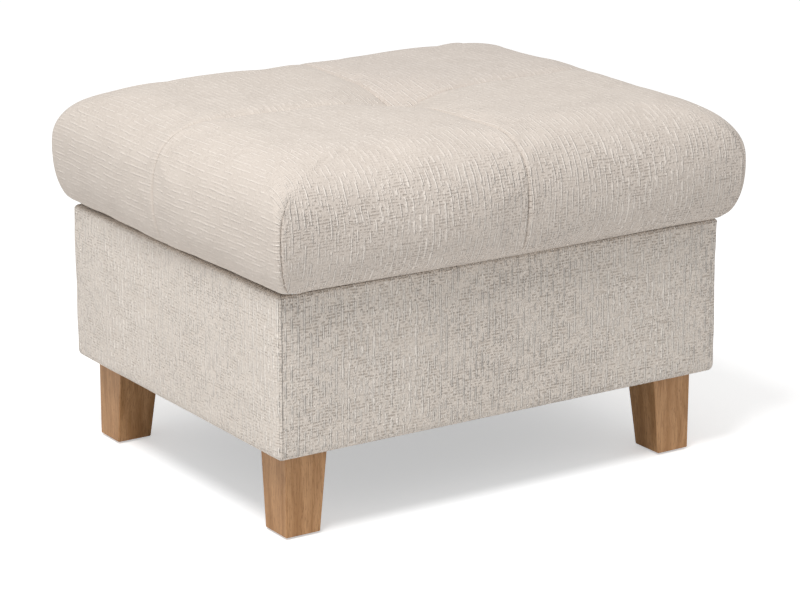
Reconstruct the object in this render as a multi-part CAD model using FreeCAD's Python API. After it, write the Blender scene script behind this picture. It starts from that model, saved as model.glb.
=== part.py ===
"""Upholstered footstool: a sprung seat unit with a sewn tuft, on a padded box base with four tapered legs.

Millimetres, +Z up. The origin is on the floor under the middle of the seat. X runs along the long side and
-Y is the front. Every piece is written to parts/NODE.step under its own name.
"""
import FreeCAD, Part
import math
import os

V = FreeCAD.Vector
UP = V(0, 0, 1)

# Seat unit: outer shape of the cover
seat_length = 686.0          # across the widest bulge, at the middle of the sides
seat_depth = 560.0
seat_bottom = 304.0          # height of the seat's underside, which is the top of the base
seat_seam_height = 452.0     # height of the cross seams away from the tuft
seat_bulge_height = 380.0    # height at which the sides stand out furthest
side_bow = 5.0               # how far the middle of a side stands out beyond its ends
under_tuck = 29.0            # how far the underside's edge is drawn in from the widest bulge
top_roll = 92.0              # how far the rolled top edge reaches in over the seat
seat_corner_radius = 16.0    # plan radius of the corners at the widest bulge
corner_opening = 0.7         # growth of that radius for each millimetre that an outline is drawn in
roll_inward_power = 0.82     # fullness of the rolled top edge, seen in section
roll_upward_power = 0.80
tuck_power = 2.4             # fullness of the curve from the bulge down to the underside
pillow_rise = 4.0            # how far each quarter swells above its seams
pillow_reach = 28.0          # how quickly a quarter swells away from a seam
tuft_depth = 20.0            # how far the middle is pulled down below the seams
tuft_reach = 46.0            # how far the pull of the tuft spreads
cover_thickness = 2.0
cover_turn_under = 35.0      # width of fabric folded under and stapled

# Base box: outer shape of its cover, and the carcass inside it
side_overhang = 23.0         # of the seat's widest bulge beyond the base, left and right
front_overhang = 35.0
back_overhang = 25.0
base_bottom = 105.0
base_front_radius = 5.0      # plan radius of the front corners
base_back_radius = 10.0      # plan radius of the back corners
base_padding_thickness = 8.0
board_thickness = 16.0
cleat_width = 30.0
cleat_height = 30.0
corner_block_size = 95.0
corner_block_height = 28.0
corner_block_bevel = 40.0    # size of the corner cut off the block's inner side

# Legs
leg_inset = 22.0             # from the base cover to the leg's upright outer faces
leg_top_size = 57.0
leg_foot_size = 47.0
leg_arris = 1.5              # rounding of the leg's long edges
glide_height = 2.5
glide_radius = 12.0
glide_edge = 0.8             # chamfer of the glide's lower rim
glide_pin_radius = 1.5
glide_pin_length = 15.0
bolt_radius = 4.0
bolt_in_leg = 38.0
bolt_above_block = 12.0
tee_nut_barrel_radius = 5.0
tee_nut_barrel_length = 9.0
tee_nut_flange_radius = 11.0
tee_nut_flange_thickness = 1.5

# Seat frame and springs
rail_width = 60.0
rail_height = 22.0
rail_gap = 9.0               # space for padding between the rails and the cover's folded edge
rail_corner_radius = 40.0    # plan radius of the frame's four outer corners
spring_count = 6
spring_width = 44.0
spring_wire_radius = 1.8
spring_run_pitch = 21.0      # distance wanted between neighbouring runs of the zigzag
spring_bearing = 18.0        # how far the last run of a spring lies in over its rail
spring_arch = 12.0           # how far the middle of a spring stands above its ends
clip_plate = 1.5
clip_length = 18.0
tie_wire_radius = 1.5
tie_wire_overhang = 8.0      # of the tie wires beyond the outer springs
tie_wire_run = 6             # each tie wire lies on this run, counted from the end of the springs
felt_thickness = 3.0
felt_margin = 2.0            # of the felt inside the frame's outer edge

# Seat filling and the tuft
wadding_side_thickness = 31.0
wadding_under_tuft = 4.5     # wadding left between the pulled-down cover and the foam
foam_edge_radius = 40.0
tuft_twine_radius = 1.0
tuft_knot_radius = 2.5
tuft_toggle_radius = 16.0
tuft_toggle_thickness = 4.0

# Fasteners
screw_radius = 2.5
screw_head_radius = 4.5
screw_head_height = 3.0
board_screw_length = 50.0
board_screws_per_corner = 3
seat_screw_length = 50.0
seat_screw_spacing = 150.0
dowel_radius = 4.0
dowel_length = 60.0
dowel_offset = 15.0          # of each dowel from the middle of the rail's width
staple_width = 11.0
staple_wire = 0.7
staple_length = 8.0
staple_spacing = 62.0        # distance wanted between staples
staple_corner_gap = 40.0     # no staple lies nearer than this to a corner
dust_cover_thickness = 0.6
dust_cover_inset = 14.0

# Clearances and drawing aids
soft_gap = 0.3               # between curved or soft neighbours
hole_gap = 0.05              # between a fastener and its hole
edge_allowance = 0.2         # by which a rounded edge stays smaller than the corner it meets
roll_overshoot = 2.0         # how far the rolled sides are drawn past the flat underside and the crown
top_section_spacing = 24.0   # between the lines that the crowned top is drawn through
beyond = 20.0                # how far cutting shapes reach past what they cut

# Sizes and heights that follow from the ones above
base_length = seat_length - 2 * side_overhang
base_depth = seat_depth - front_overhang - back_overhang
base_centre_y = (front_overhang - back_overhang) / 2
base_top = seat_bottom
board_inset = cover_thickness + base_padding_thickness
board_bottom = base_bottom + cover_thickness
board_top = base_top - cover_thickness
board_half_x = base_length / 2 - board_inset
board_half_y = base_depth / 2 - board_inset
block_top = board_bottom + corner_block_height
leg_top = base_bottom - dust_cover_thickness
foot_half_x = seat_length / 2 - under_tuck       # the seat's outline where it rests on the base
foot_half_y = seat_depth / 2 - under_tuck
frame_half_x = foot_half_x - rail_gap
frame_half_y = foot_half_y - rail_gap
frame_inner_y = frame_half_y - rail_width
rail_bottom = seat_bottom + cover_thickness
rail_top = rail_bottom + rail_height
spring_half = frame_inner_y + spring_bearing     # from the middle of a spring to its last run
spring_run_count = round(2 * spring_half / spring_run_pitch) + 1
spring_run_step = 2 * spring_half / (spring_run_count - 1)
spring_spacing = 2 * (frame_half_x - rail_width) / spring_count
wire_height = rail_top + clip_plate + spring_wire_radius + soft_gap
felt_bottom = wire_height + spring_wire_radius + clip_plate + 2 * soft_gap
felt_rise = spring_arch + 2 * tie_wire_radius
foam_bottom = felt_bottom + felt_thickness + soft_gap
foam_top = seat_seam_height - tuft_depth - cover_thickness - wadding_under_tuft
foam_half_x = seat_length / 2 - wadding_side_thickness
foam_half_y = seat_depth / 2 - wadding_side_thickness
corners = {"front_left": (-1, -1), "front_right": (1, -1), "back_left": (-1, 1), "back_right": (1, 1)}


# Drawing helpers

def box(x0, x1, y0, y1, z0, z1):
    return Part.makeBox(x1 - x0, y1 - y0, z1 - z0, V(x0, y0, z0))


def post(x, y, z0, z1, radius):
    """An upright cylinder."""
    return Part.makeCylinder(radius, z1 - z0, V(x, y, z0), UP)


def arc(start, middle, end):
    return Part.Arc(start, middle, end).toShape()


def line(start, end):
    return Part.LineSegment(start, end).toShape()


def prism(points, z0, z1):
    """An upright prism over a flat outline of (x, y) points."""
    outline = Part.makePolygon([V(x, y, z0) for x, y in points + points[:1]])
    return Part.Face(outline).extrude(V(0, 0, z1 - z0))


def mirrored(shape, sign_x, sign_y):
    """Moves a shape drawn in the back right quarter into the quarter with the given signs."""
    if sign_x < 0:
        shape = shape.mirror(V(), V(1, 0, 0))
    if sign_y < 0:
        shape = shape.mirror(V(), V(0, 1, 0))
    return shape


def rounded_plan(half_x, half_y, centre_y, front_radius, back_radius, z):
    """A rectangle with one radius at both front corners and another at both back corners."""
    near = 1 - math.sqrt(0.5)
    corner_points = []
    for x_side, y_side in ((-1, -1), (1, -1), (1, 1), (-1, 1)):
        radius = front_radius if y_side < 0 else back_radius
        along_x = V(x_side * (half_x - radius), centre_y + y_side * half_y, z)
        along_y = V(x_side * half_x, centre_y + y_side * (half_y - radius), z)
        middle = V(x_side * (half_x - near * radius), centre_y + y_side * (half_y - near * radius), z)
        enters_on_y = x_side == y_side
        corner_points.append((along_y, middle, along_x) if enters_on_y else (along_x, middle, along_y))
    edges = []
    for i, (start, middle, end) in enumerate(corner_points):
        edges.append(arc(start, middle, end))
        edges.append(line(end, corner_points[(i + 1) % 4][0]))
    return Part.Wire(edges)


def bowed_outline(half_x, half_y, z, radius):
    """A rectangle with rounded corners whose four sides bow outward by the side bow."""
    near = radius * (1 - math.sqrt(0.5))
    edges = []
    for turn in range(4):
        along, across = (half_x, half_y) if turn % 2 == 0 else (half_y, half_x)
        along -= side_bow
        across -= side_bow
        side_start = V(-(along - radius), -across, z)
        side_middle = V(0, -(across + side_bow), z)
        side_end = V(along - radius, -across, z)
        corner_middle = V(along - near, -(across - near), z)
        corner_end = V(along, -(across - radius), z)
        for edge in (arc(side_start, side_middle, side_end), arc(side_end, corner_middle, corner_end)):
            edge.rotate(V(), UP, 90 * turn)
            edges.append(edge)
    return Part.Wire(edges)


def export(name, *shapes):
    """Writes one piece, or a group of like pieces, under its node name."""
    solids = [solid for shape in shapes for solid in shape.Solids]
    shape = solids[0] if len(solids) == 1 else Part.makeCompound(solids)
    if not shape.isValid():
        raise ValueError(f"{name} is not a valid shape")
    shape.exportStep(f"parts/{name}.step")
    print(f"{name}: {len(solids)} solid(s), {shape.Volume / 1000:.1f} cm3")


# Seat: the crowned, rolled form shared by the cover and the wadding

def seat_walls(inset):
    """The rolled sides, lofted through level outlines and taken in all round by the inset.

    The first and the last outline lie just outside the seat, so that the flat underside and the crowned
    top cut cleanly through the rolled sides.
    """
    below = seat_bulge_height - seat_bottom - inset
    above = seat_seam_height + pillow_rise + roll_overshoot - seat_bulge_height - inset
    levels = [(seat_bottom + inset - roll_overshoot, under_tuck + roll_overshoot)]
    for share in (0.25, 0.55):
        drawn_in = under_tuck * (1 - math.sqrt(1 - (1 - share) ** tuck_power))
        levels.append((seat_bottom + inset + share * below, drawn_in))
    levels.append((seat_bulge_height, 0.0))
    for degrees in (28, 50, 66, 78, 86):
        angle = math.radians(degrees)
        drawn_in = top_roll * (1 - math.cos(angle) ** roll_inward_power)
        levels.append((seat_bulge_height + above * math.sin(angle) ** roll_upward_power, drawn_in))
    levels.append((seat_bulge_height + above + 2 * roll_overshoot, top_roll * 1.25))
    outlines = []
    for height, drawn_in in levels:
        taken_in = inset + drawn_in
        radius = seat_corner_radius + corner_opening * drawn_in - inset
        outlines.append(bowed_outline(seat_length / 2 - taken_in, seat_depth / 2 - taken_in, height, radius))
    return Part.makeLoft(outlines, True, False)


def top_height(from_cross_seam, from_long_seam):
    """Height of the cover's top at the given distances from the two seams that cross at the tuft."""
    swell = 1.0
    for distance in (from_cross_seam, from_long_seam):
        swell *= 1 - math.exp(-distance / pillow_reach)
    from_tuft = math.hypot(from_cross_seam, from_long_seam)
    pull = math.exp(-((from_tuft / tuft_reach) ** 1.35))
    return seat_seam_height + pillow_rise * swell - tuft_depth * pull


def seat_quarter(inset):
    """The back right quarter of the seat, taken in by the inset except on the two planes of its seams."""
    reach_x = seat_length / 2 + beyond
    reach_y = seat_depth / 2 + beyond
    floor = seat_bottom + inset
    count = round(reach_x / top_section_spacing)
    sections = []
    for step in range(count + 1):
        x = reach_x * step / count
        top = [V(x, y, top_height(x, y) - inset) for y in (0, 22, 52, 85, 130, 200, reach_y)]
        front_foot = V(x, 0, floor)
        back_foot = V(x, reach_y, floor)
        sections.append(Part.Wire([line(front_foot, top[0]), arc(*top[0:3]), arc(*top[2:5]), arc(*top[4:7]),
                                   line(top[6], back_foot), line(back_foot, front_foot)]))
    crowned_space = Part.makeLoft(sections, True, False)
    return seat_walls(inset).common(crowned_space)


def seat_cover_quarter():
    """Fabric over one quarter, folded under all round the frame."""
    open_x = foot_half_x - cover_turn_under
    open_y = foot_half_y - cover_turn_under
    opening = box(-open_x, open_x, -open_y, open_y, seat_bottom - beyond, rail_bottom + hole_gap)
    return seat_quarter(0).cut(seat_quarter(cover_thickness)).cut(opening)


def seat_wadding_quarter():
    """Fibre wadding between the cover and the foam, reaching down round the frame."""
    foam_space = rounded_on_top(box(-foam_half_x - soft_gap, foam_half_x + soft_gap,
                                    -foam_half_y - soft_gap, foam_half_y + soft_gap,
                                    foam_bottom - soft_gap, foam_top + soft_gap))
    frame_space = box(-frame_half_x - soft_gap, frame_half_x + soft_gap,
                      -frame_half_y - soft_gap, frame_half_y + soft_gap, seat_bottom, foam_bottom)
    return seat_quarter(cover_thickness + soft_gap).cut([foam_space, frame_space, twine_hole()])


# Seat: foam, felt and tuft

def rounded_on_top(block):
    """A block with the foam's rounding on its top edges and its upright corners."""
    top = block.BoundBox.ZMax
    upright = [e for e in block.Edges if e.BoundBox.XLength < 0.01 and e.BoundBox.YLength < 0.01]
    upper = [e for e in block.Edges if e.BoundBox.ZMin > top - 1]
    return block.makeFillet(foam_edge_radius, upright + upper)


def arched_section(half_x, half_y, z, upper):
    """A slab over the arch of the springs: its underside starts at z, and upper gives its top's edges."""
    low = [V(-half_x, -half_y, z), V(-half_x, -spring_half, z), V(-half_x, 0, z + felt_rise),
           V(-half_x, spring_half, z), V(-half_x, half_y, z)]
    edges = [line(low[0], low[1]), arc(low[1], low[2], low[3]), line(low[3], low[4])]
    face = Part.Face(Part.Wire(edges + upper(low)))
    return face.extrude(V(2 * half_x, 0, 0))


def seat_felt():
    """Felt laid over the springs, following their arch."""
    def parallel_top(low):
        high = [point + V(0, 0, felt_thickness) for point in low]
        return [line(low[4], high[4]), line(high[4], high[3]), arc(high[3], high[2], high[1]),
                line(high[1], high[0]), line(high[0], low[0])]

    felt = arched_section(frame_half_x - felt_margin, frame_half_y - felt_margin, felt_bottom, parallel_top)
    return felt.cut(twine_hole())


def seat_foam():
    """The foam block, flat on top and hollowed underneath to the arch of the springs."""
    def flat_top(low):
        front = V(low[0].x, low[0].y, foam_top)
        back = V(low[4].x, low[4].y, foam_top)
        return [line(low[4], back), line(back, front), line(front, low[0])]

    block = arched_section(foam_half_x, foam_half_y, foam_bottom, flat_top)
    return rounded_on_top(block).cut(twine_hole())


def twine_hole():
    return post(0, 0, seat_bottom, seat_seam_height, tuft_twine_radius + soft_gap)


def tuft_twine_and_toggle():
    """Twine from under the middle of the cover down to a toggle that bears on the felt from below."""
    twine_top = top_height(0, 0) - cover_thickness - soft_gap
    toggle_top = felt_bottom + felt_rise - soft_gap
    toggle_bottom = toggle_top - tuft_toggle_thickness
    knot_centre = toggle_bottom - tuft_knot_radius
    knot = Part.makeSphere(tuft_knot_radius, V(0, 0, knot_centre))
    twine = post(0, 0, knot_centre, twine_top, tuft_twine_radius).fuse(knot)
    toggle = post(0, 0, toggle_bottom, toggle_top, tuft_toggle_radius)
    rims = [e for e in toggle.Edges if e.BoundBox.ZLength < 0.01]
    toggle = toggle.makeFillet(tuft_toggle_thickness / 4, rims)
    bore = post(0, 0, toggle_bottom - beyond, toggle_top + beyond, tuft_twine_radius + hole_gap)
    return twine, toggle.cut(bore)


# Seat: frame and springs

def seat_rails():
    """Long rails in front and behind, short rails between them, with the frame's corners rounded."""
    x = frame_half_x
    y = frame_half_y
    inner_y = frame_inner_y
    outline = rounded_plan(x, y, 0, rail_corner_radius, rail_corner_radius, rail_bottom)
    frame = Part.Face(outline).extrude(V(0, 0, rail_height))
    spaces = {
        "front": box(-x, x, -y, -inner_y, rail_bottom, rail_top),
        "back": box(-x, x, inner_y, y, rail_bottom, rail_top),
        "left": box(-x, -x + rail_width, -inner_y, inner_y, rail_bottom, rail_top),
        "right": box(x - rail_width, x, -inner_y, inner_y, rail_bottom, rail_top),
    }
    return {f"seat_rail_{side}": frame.common(space) for side, space in spaces.items()}


def seat_dowels(radius, length):
    """Two dowels through each of the frame's four joints."""
    found = []
    z = (rail_bottom + rail_top) / 2
    for sign_x, sign_y in corners.values():
        for offset in (-dowel_offset, dowel_offset):
            x = sign_x * (frame_half_x - rail_width / 2) + offset
            start = V(x, sign_y * frame_inner_y - length / 2, z)
            found.append(Part.makeCylinder(radius, length, start, V(0, 1, 0)))
    return found


def spring_point(run):
    """The (y, z) of one of a spring's cross runs, on an arc that is highest in the middle."""
    arch_radius = (spring_half ** 2 + spring_arch ** 2) / (2 * spring_arch)
    arch_centre = wire_height + spring_arch - arch_radius
    y = -spring_half + run * spring_run_step
    return y, arch_centre + math.sqrt(arch_radius ** 2 - y ** 2)


def seat_spring(x):
    """A zigzag spring: cross runs joined by half turns, arched from front to back."""
    bend_radius = spring_run_step / 2
    half_run = spring_width / 2 - spring_wire_radius - bend_radius
    edges = []
    for run in range(spring_run_count):
        y, z = spring_point(run)
        side = 1 if run % 2 == 0 else -1
        edges.append(line(V(x - side * half_run, y, z), V(x + side * half_run, y, z)))
        if run + 1 < spring_run_count:
            next_y, next_z = spring_point(run + 1)
            bend = V(x + side * (half_run + bend_radius), (y + next_y) / 2, (z + next_z) / 2)
            edges.append(arc(V(x + side * half_run, y, z), bend, V(x + side * half_run, next_y, next_z)))
    path = Part.Wire(edges)
    y, z = spring_point(0)
    ring = Part.Circle(V(x - half_run, y, z), V(1, 0, 0), spring_wire_radius).toShape()
    spring = path.makePipeShell([Part.Wire(ring)], True, False)
    tube_volume = math.pi * spring_wire_radius ** 2 * path.Length
    least_gap = spring_run_step - 2 * spring_wire_radius
    print(f"spring: {path.Length:.0f} mm of wire, volume ratio {spring.Volume / tube_volume:.4f}, "
          f"bend radius {bend_radius:.2f}, least gap to itself {least_gap:.2f}")
    return spring


def spring_clip(x, side):
    """A folded steel clip that holds the last run of a spring down on its rail, with its mouth outward."""
    bore = spring_wire_radius + soft_gap
    outer = bore + clip_plate
    half = clip_length / 2
    along = V(1, 0, 0)
    eye = Part.makeCylinder(outer, clip_length, V(-half, 0, 0), along)
    tail = box(-half, half, 0, 3 * outer, -outer, -bore)
    hollow = Part.makeCylinder(bore, clip_length, V(-half, 0, 0), along)
    mouth = box(-half, half, 0, 2 * outer, -bore, bore / 5)
    clip = mirrored(eye.fuse(tail).cut([hollow, mouth]).removeSplitter(), 1, side)
    y, z = spring_point(0)
    clip.translate(V(x, side * abs(y), z))
    return clip


def spring_tie_wires():
    """Two straight wires laid across all the springs."""
    y, z = spring_point(tie_wire_run)
    z += spring_wire_radius + soft_gap + tie_wire_radius
    half = (spring_count - 1) * spring_spacing / 2 + spring_width / 2 + tie_wire_overhang
    return [Part.makeCylinder(tie_wire_radius, 2 * half, V(-half, side * y, z), V(1, 0, 0))
            for side in (-1, 1)]


# Base: carcass

def base_boards():
    """Four boards on edge, the long ones lapping the ends of the short ones."""
    x = board_half_x
    y = board_half_y
    t = board_thickness
    c = base_centre_y
    return {
        "base_board_front": box(-x, x, c - y, c - y + t, board_bottom, board_top),
        "base_board_back": box(-x, x, c + y - t, c + y, board_bottom, board_top),
        "base_board_left": box(-x, -x + t, c - y + t, c + y - t, board_bottom, board_top),
        "base_board_right": box(x - t, x, c - y + t, c + y - t, board_bottom, board_top),
    }


def base_cleats():
    """Battens along the top of the short boards, which the seat is screwed to."""
    outer = board_half_x - board_thickness
    inner = outer - cleat_width
    end = board_half_y - board_thickness
    c = base_centre_y
    low = board_top - cleat_height
    return {
        "base_cleat_left": box(-outer, -inner, c - end, c + end, low, board_top),
        "base_cleat_right": box(inner, outer, c - end, c + end, low, board_top),
    }


def corner_block(sign_x, sign_y):
    """A glued block in a corner of the carcass, thick enough to take the leg's bolt."""
    x = board_half_x - board_thickness
    y = board_half_y - board_thickness
    size = corner_block_size
    bevel = corner_block_bevel
    outline = [(x, y), (x - size, y), (x - size, y - size + bevel), (x - size + bevel, y - size),
               (x, y - size)]
    block = mirrored(prism(outline, board_bottom, block_top), sign_x, sign_y)
    block.translate(V(0, base_centre_y, 0))
    return block


# Base: padding and cover

def base_block(inset):
    """The base's outer shape, taken in all round by the inset, with its level edges rounded."""
    front_radius = base_front_radius - inset
    outline = rounded_plan(base_length / 2 - inset, base_depth / 2 - inset, base_centre_y,
                           front_radius, base_back_radius - inset, base_bottom + inset)
    block = Part.Face(outline).extrude(V(0, 0, base_top - base_bottom - 2 * inset))
    level_edges = [e for e in block.Edges if e.BoundBox.ZLength < 0.01]
    return block.makeFillet(front_radius - edge_allowance, level_edges)


def base_sides(shell):
    """Shares a shell round the base out to its four sides, which meet on the corners' mitres."""
    x = base_length / 2 + beyond
    y = base_depth / 2 + beyond
    c = base_centre_y
    ridge = x - y
    plans = {
        "front": [(-x, c - y), (x, c - y), (ridge, c), (-ridge, c)],
        "back": [(x, c + y), (-x, c + y), (-ridge, c), (ridge, c)],
        "left": [(-x, c + y), (-x, c - y), (-ridge, c)],
        "right": [(x, c - y), (x, c + y), (ridge, c)],
    }
    z0 = base_bottom - beyond
    z1 = base_top + beyond
    return {side: shell.common(prism(plan, z0, z1)) for side, plan in plans.items()}


def base_cover():
    """Fabric over the base's sides, folded in over the boards at the top and at the bottom."""
    x = base_length / 2 - cover_turn_under
    y = base_depth / 2 - cover_turn_under
    c = base_centre_y
    inside = box(-x, x, c - y, c + y, base_bottom - beyond, base_top + beyond)
    return base_block(0).cut([base_block(cover_thickness), inside])


def base_padding():
    """A layer of wadding between the boards' outer faces and the cover."""
    x = board_half_x
    y = board_half_y
    c = base_centre_y
    carcass = box(-x, x, c - y, c + y, base_bottom - beyond, base_top + beyond)
    return base_block(cover_thickness + soft_gap / 2).cut(carcass)


def dust_cover():
    """Thin non-woven sheet that closes the base from below."""
    outline = rounded_plan(base_length / 2 - dust_cover_inset, base_depth / 2 - dust_cover_inset,
                           base_centre_y, base_front_radius, base_back_radius, leg_top)
    return Part.Face(outline).extrude(V(0, 0, dust_cover_thickness))


# Legs

def leg_axis(sign_x, sign_y, size):
    """Where the middle of a leg of the given size stands in plan."""
    x = sign_x * (base_length / 2 - leg_inset - size / 2)
    y = base_centre_y + sign_y * (base_depth / 2 - leg_inset - size / 2)
    return x, y


def leg(sign_x, sign_y):
    """A square leg whose two outer faces are upright and whose two inner faces taper."""
    x = base_length / 2 - leg_inset
    y = base_depth / 2 - leg_inset

    def square(size, z):
        return Part.makePolygon([V(x, y, z), V(x - size, y, z), V(x - size, y - size, z),
                                 V(x, y - size, z), V(x, y, z)])

    solid = Part.makeLoft([square(leg_foot_size, glide_height), square(leg_top_size, leg_top)], True, True)
    solid = solid.makeFillet(leg_arris, [e for e in solid.Edges if e.BoundBox.ZLength > leg_arris])
    foot_edges = [e for e in solid.Edges if e.BoundBox.ZMax < glide_height + 0.01]
    solid = mirrored(solid.makeChamfer(leg_arris / 2, foot_edges), sign_x, sign_y)
    solid.translate(V(0, base_centre_y, 0))
    return solid


def leg_bolt(sign_x, sign_y, clearance=0.0):
    """The threaded bolt between leg and block, or with a clearance the hole that it needs."""
    x, y = leg_axis(sign_x, sign_y, leg_top_size)
    low = leg_top - bolt_in_leg - 10 * clearance
    return post(x, y, low, block_top + bolt_above_block, bolt_radius + clearance)


def tee_nut(sign_x, sign_y, clearance=0.0):
    """The nut sunk into the top of the block, or with a clearance the recess for its barrel."""
    x, y = leg_axis(sign_x, sign_y, leg_top_size)
    barrel = post(x, y, block_top - tee_nut_barrel_length, block_top, tee_nut_barrel_radius + clearance)
    if clearance:
        return barrel
    flange = post(x, y, block_top, block_top + tee_nut_flange_thickness, tee_nut_flange_radius)
    return barrel.fuse(flange).removeSplitter()


def leg_glide(sign_x, sign_y):
    """A round glide under the foot, with its lower rim chamfered and a pin up into the leg."""
    x, y = leg_axis(sign_x, sign_y, leg_foot_size)
    rim = Part.makeCone(glide_radius - glide_edge, glide_radius, glide_edge, V(x, y, 0), UP)
    disc = post(x, y, glide_edge, glide_height, glide_radius)
    pin = post(x, y, glide_edge, glide_height + glide_pin_length, glide_pin_radius)
    return rim.fuse([disc, pin]).removeSplitter()


def glide_pin_hole(sign_x, sign_y):
    x, y = leg_axis(sign_x, sign_y, leg_foot_size)
    return post(x, y, 0, glide_height + glide_pin_length + 1, glide_pin_radius + hole_gap)


# Fasteners

def screw(at, direction, length, clearance=0.0):
    """A countersunk screw from its head's face inward, or with a clearance the hole that it needs."""
    head = Part.makeCone(screw_head_radius + clearance, screw_radius + clearance, screw_head_height,
                         at, direction)
    shank = Part.makeCylinder(screw_radius + clearance, length + clearance, at, direction)
    return head.fuse(shank).removeSplitter()


def board_screws(clearance=0.0):
    """Screws through the long boards into the ends of the short ones."""
    found = []
    for sign_x, sign_y in corners.values():
        x = sign_x * (board_half_x - board_thickness / 2)
        y = base_centre_y + sign_y * board_half_y
        for i in range(board_screws_per_corner):
            z = board_bottom + (board_top - board_bottom) * (i + 1) / (board_screws_per_corner + 1)
            found.append(screw(V(x, y, z), V(0, -sign_y, 0), board_screw_length, clearance))
    return found


def seat_screws(clearance=0.0):
    """Screws up through the cleats into the seat's side rails."""
    found = []
    x = board_half_x - board_thickness - cleat_width / 2
    for side in (-1, 1):
        for step in (-1, 0, 1):
            at = V(side * x, base_centre_y + step * seat_screw_spacing, board_top - cleat_height)
            found.append(screw(at, UP, seat_screw_length, clearance))
    return found


def staple(x, y, z, along_x, upward):
    """A wire staple whose crown lies at height z and whose legs point up or down."""
    half = staple_width / 2
    w = staple_wire
    crown = box(-half, half, -w / 2, w / 2, 0, w)
    left_leg = box(-half, -half + w, -w / 2, w / 2, 0, staple_length)
    right_leg = box(half - w, half, -w / 2, w / 2, 0, staple_length)
    shape = crown.fuse([left_leg, right_leg]).removeSplitter()
    if not upward:
        shape = shape.mirror(V(), UP)
    if not along_x:
        shape.rotate(V(), UP, 90)
    shape.translate(V(x, y, z))
    return shape


def staple_ring(half_x, half_y, centre_y, z, upward, corner_gap):
    """Staples evenly spaced along the four sides of a rectangle, clear of its corners."""
    found = []
    for along_x in (True, False):
        reach = (half_x if along_x else half_y) - corner_gap
        count = max(2, round(2 * reach / staple_spacing))
        for i in range(count + 1):
            t = -reach + 2 * reach * i / count
            for side in (-1, 1):
                x, y = (t, side * half_y) if along_x else (side * half_x, t)
                found.append(staple(x, centre_y + y, z, along_x, upward))
    return found


def base_staple_ring(z, upward, corner_gap):
    """Staples along the middle of the boards' edges."""
    half_x = board_half_x - board_thickness / 2
    half_y = board_half_y - board_thickness / 2
    return staple_ring(half_x, half_y, base_centre_y, z, upward, corner_gap)


def seat_staple_ring():
    """Staples through the seat cover's fold into the rails."""
    inset = (rail_gap + cover_turn_under) / 2
    return staple_ring(foot_half_x - inset, foot_half_y - inset, 0, seat_bottom, True, staple_corner_gap)


# Build: fasteners first, because each piece is cut to fit them

os.makedirs("parts", exist_ok=True)
all_bolt_holes = [leg_bolt(*signs, hole_gap) for signs in corners.values()]
dust_staples = base_staple_ring(leg_top - staple_wire, True, leg_inset + leg_top_size + staple_width)
base_staples = base_staple_ring(base_top, False, staple_corner_gap)
seat_staples = seat_staple_ring()
seat_screw_holes = seat_screws(hole_gap)

# Base carcass, its padding and its cover
for node, board in base_boards().items():
    export(node, board.cut(board_screws(hole_gap) + dust_staples + base_staples))
for node, cleat in base_cleats().items():
    export(node, cleat.cut(seat_screw_holes))
for side, padding in base_sides(base_padding()).items():
    export(f"base_padding_{side}", padding)
for side, cover in base_sides(base_cover()).items():
    export(f"base_cover_{side}", cover.cut(dust_staples + base_staples + seat_screw_holes))
export("dust_cover", dust_cover().cut(all_bolt_holes + dust_staples))

# Legs, with the blocks and hardware that hold them
for corner, signs in corners.items():
    bolt_hole = leg_bolt(*signs, hole_gap)
    export(f"base_corner_block_{corner}", corner_block(*signs).cut([bolt_hole, tee_nut(*signs, hole_gap)]))
    export(f"leg_{corner}", leg(*signs).cut([bolt_hole, glide_pin_hole(*signs)]))
    export(f"leg_glide_{corner}", leg_glide(*signs))
export("leg_bolts", *[leg_bolt(*signs) for signs in corners.values()])
export("leg_tee_nuts", *[tee_nut(*signs).cut(leg_bolt(*signs, hole_gap)) for signs in corners.values()])

# Seat frame and springs
for node, rail in seat_rails().items():
    dowel_holes = seat_dowels(dowel_radius + hole_gap, dowel_length + 2)
    export(node, rail.cut(dowel_holes + seat_screw_holes + seat_staples))
spring_places = [(i - (spring_count - 1) / 2) * spring_spacing for i in range(spring_count)]
for number, place in enumerate(spring_places, 1):
    export(f"seat_spring_{number}", seat_spring(place))
export("spring_clips", *[spring_clip(place, side) for place in spring_places for side in (-1, 1)])
export("spring_tie_wires", *spring_tie_wires())

# Seat filling, tuft and cover
export("seat_felt", seat_felt())
export("seat_foam", seat_foam())
twine, toggle = tuft_twine_and_toggle()
export("tuft_twine", twine)
export("tuft_toggle", toggle)
wadding_quarter = seat_wadding_quarter()
cover_quarter = seat_cover_quarter()
for corner, signs in corners.items():
    export(f"seat_wadding_{corner}", mirrored(wadding_quarter, *signs))
    export(f"seat_cover_{corner}", mirrored(cover_quarter, *signs).cut(seat_screw_holes).cut(seat_staples))

# Fasteners
export("seat_rail_dowels", *seat_dowels(dowel_radius, dowel_length))
export("seat_fixing_screws", *seat_screws())
export("base_board_screws", *board_screws())
export("dust_cover_staples", *dust_staples)
export("seat_cover_staples", *seat_staples)
export("base_cover_staples", *base_staples)
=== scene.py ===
"""Upholstered footstool: fabrics, filling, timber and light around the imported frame.

Metres, +Z up, in the frame of the CAD model. Every length below is a real one. The sections follow the
stool as it is made: carcass, base upholstery, legs, seat frame, springs and fixings, filling, tuft and
seat cover. The room with its lamp and camera comes last.
"""
import math
import bmesh
import bpy
import numpy as np
from mathutils import Matrix, Vector


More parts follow.
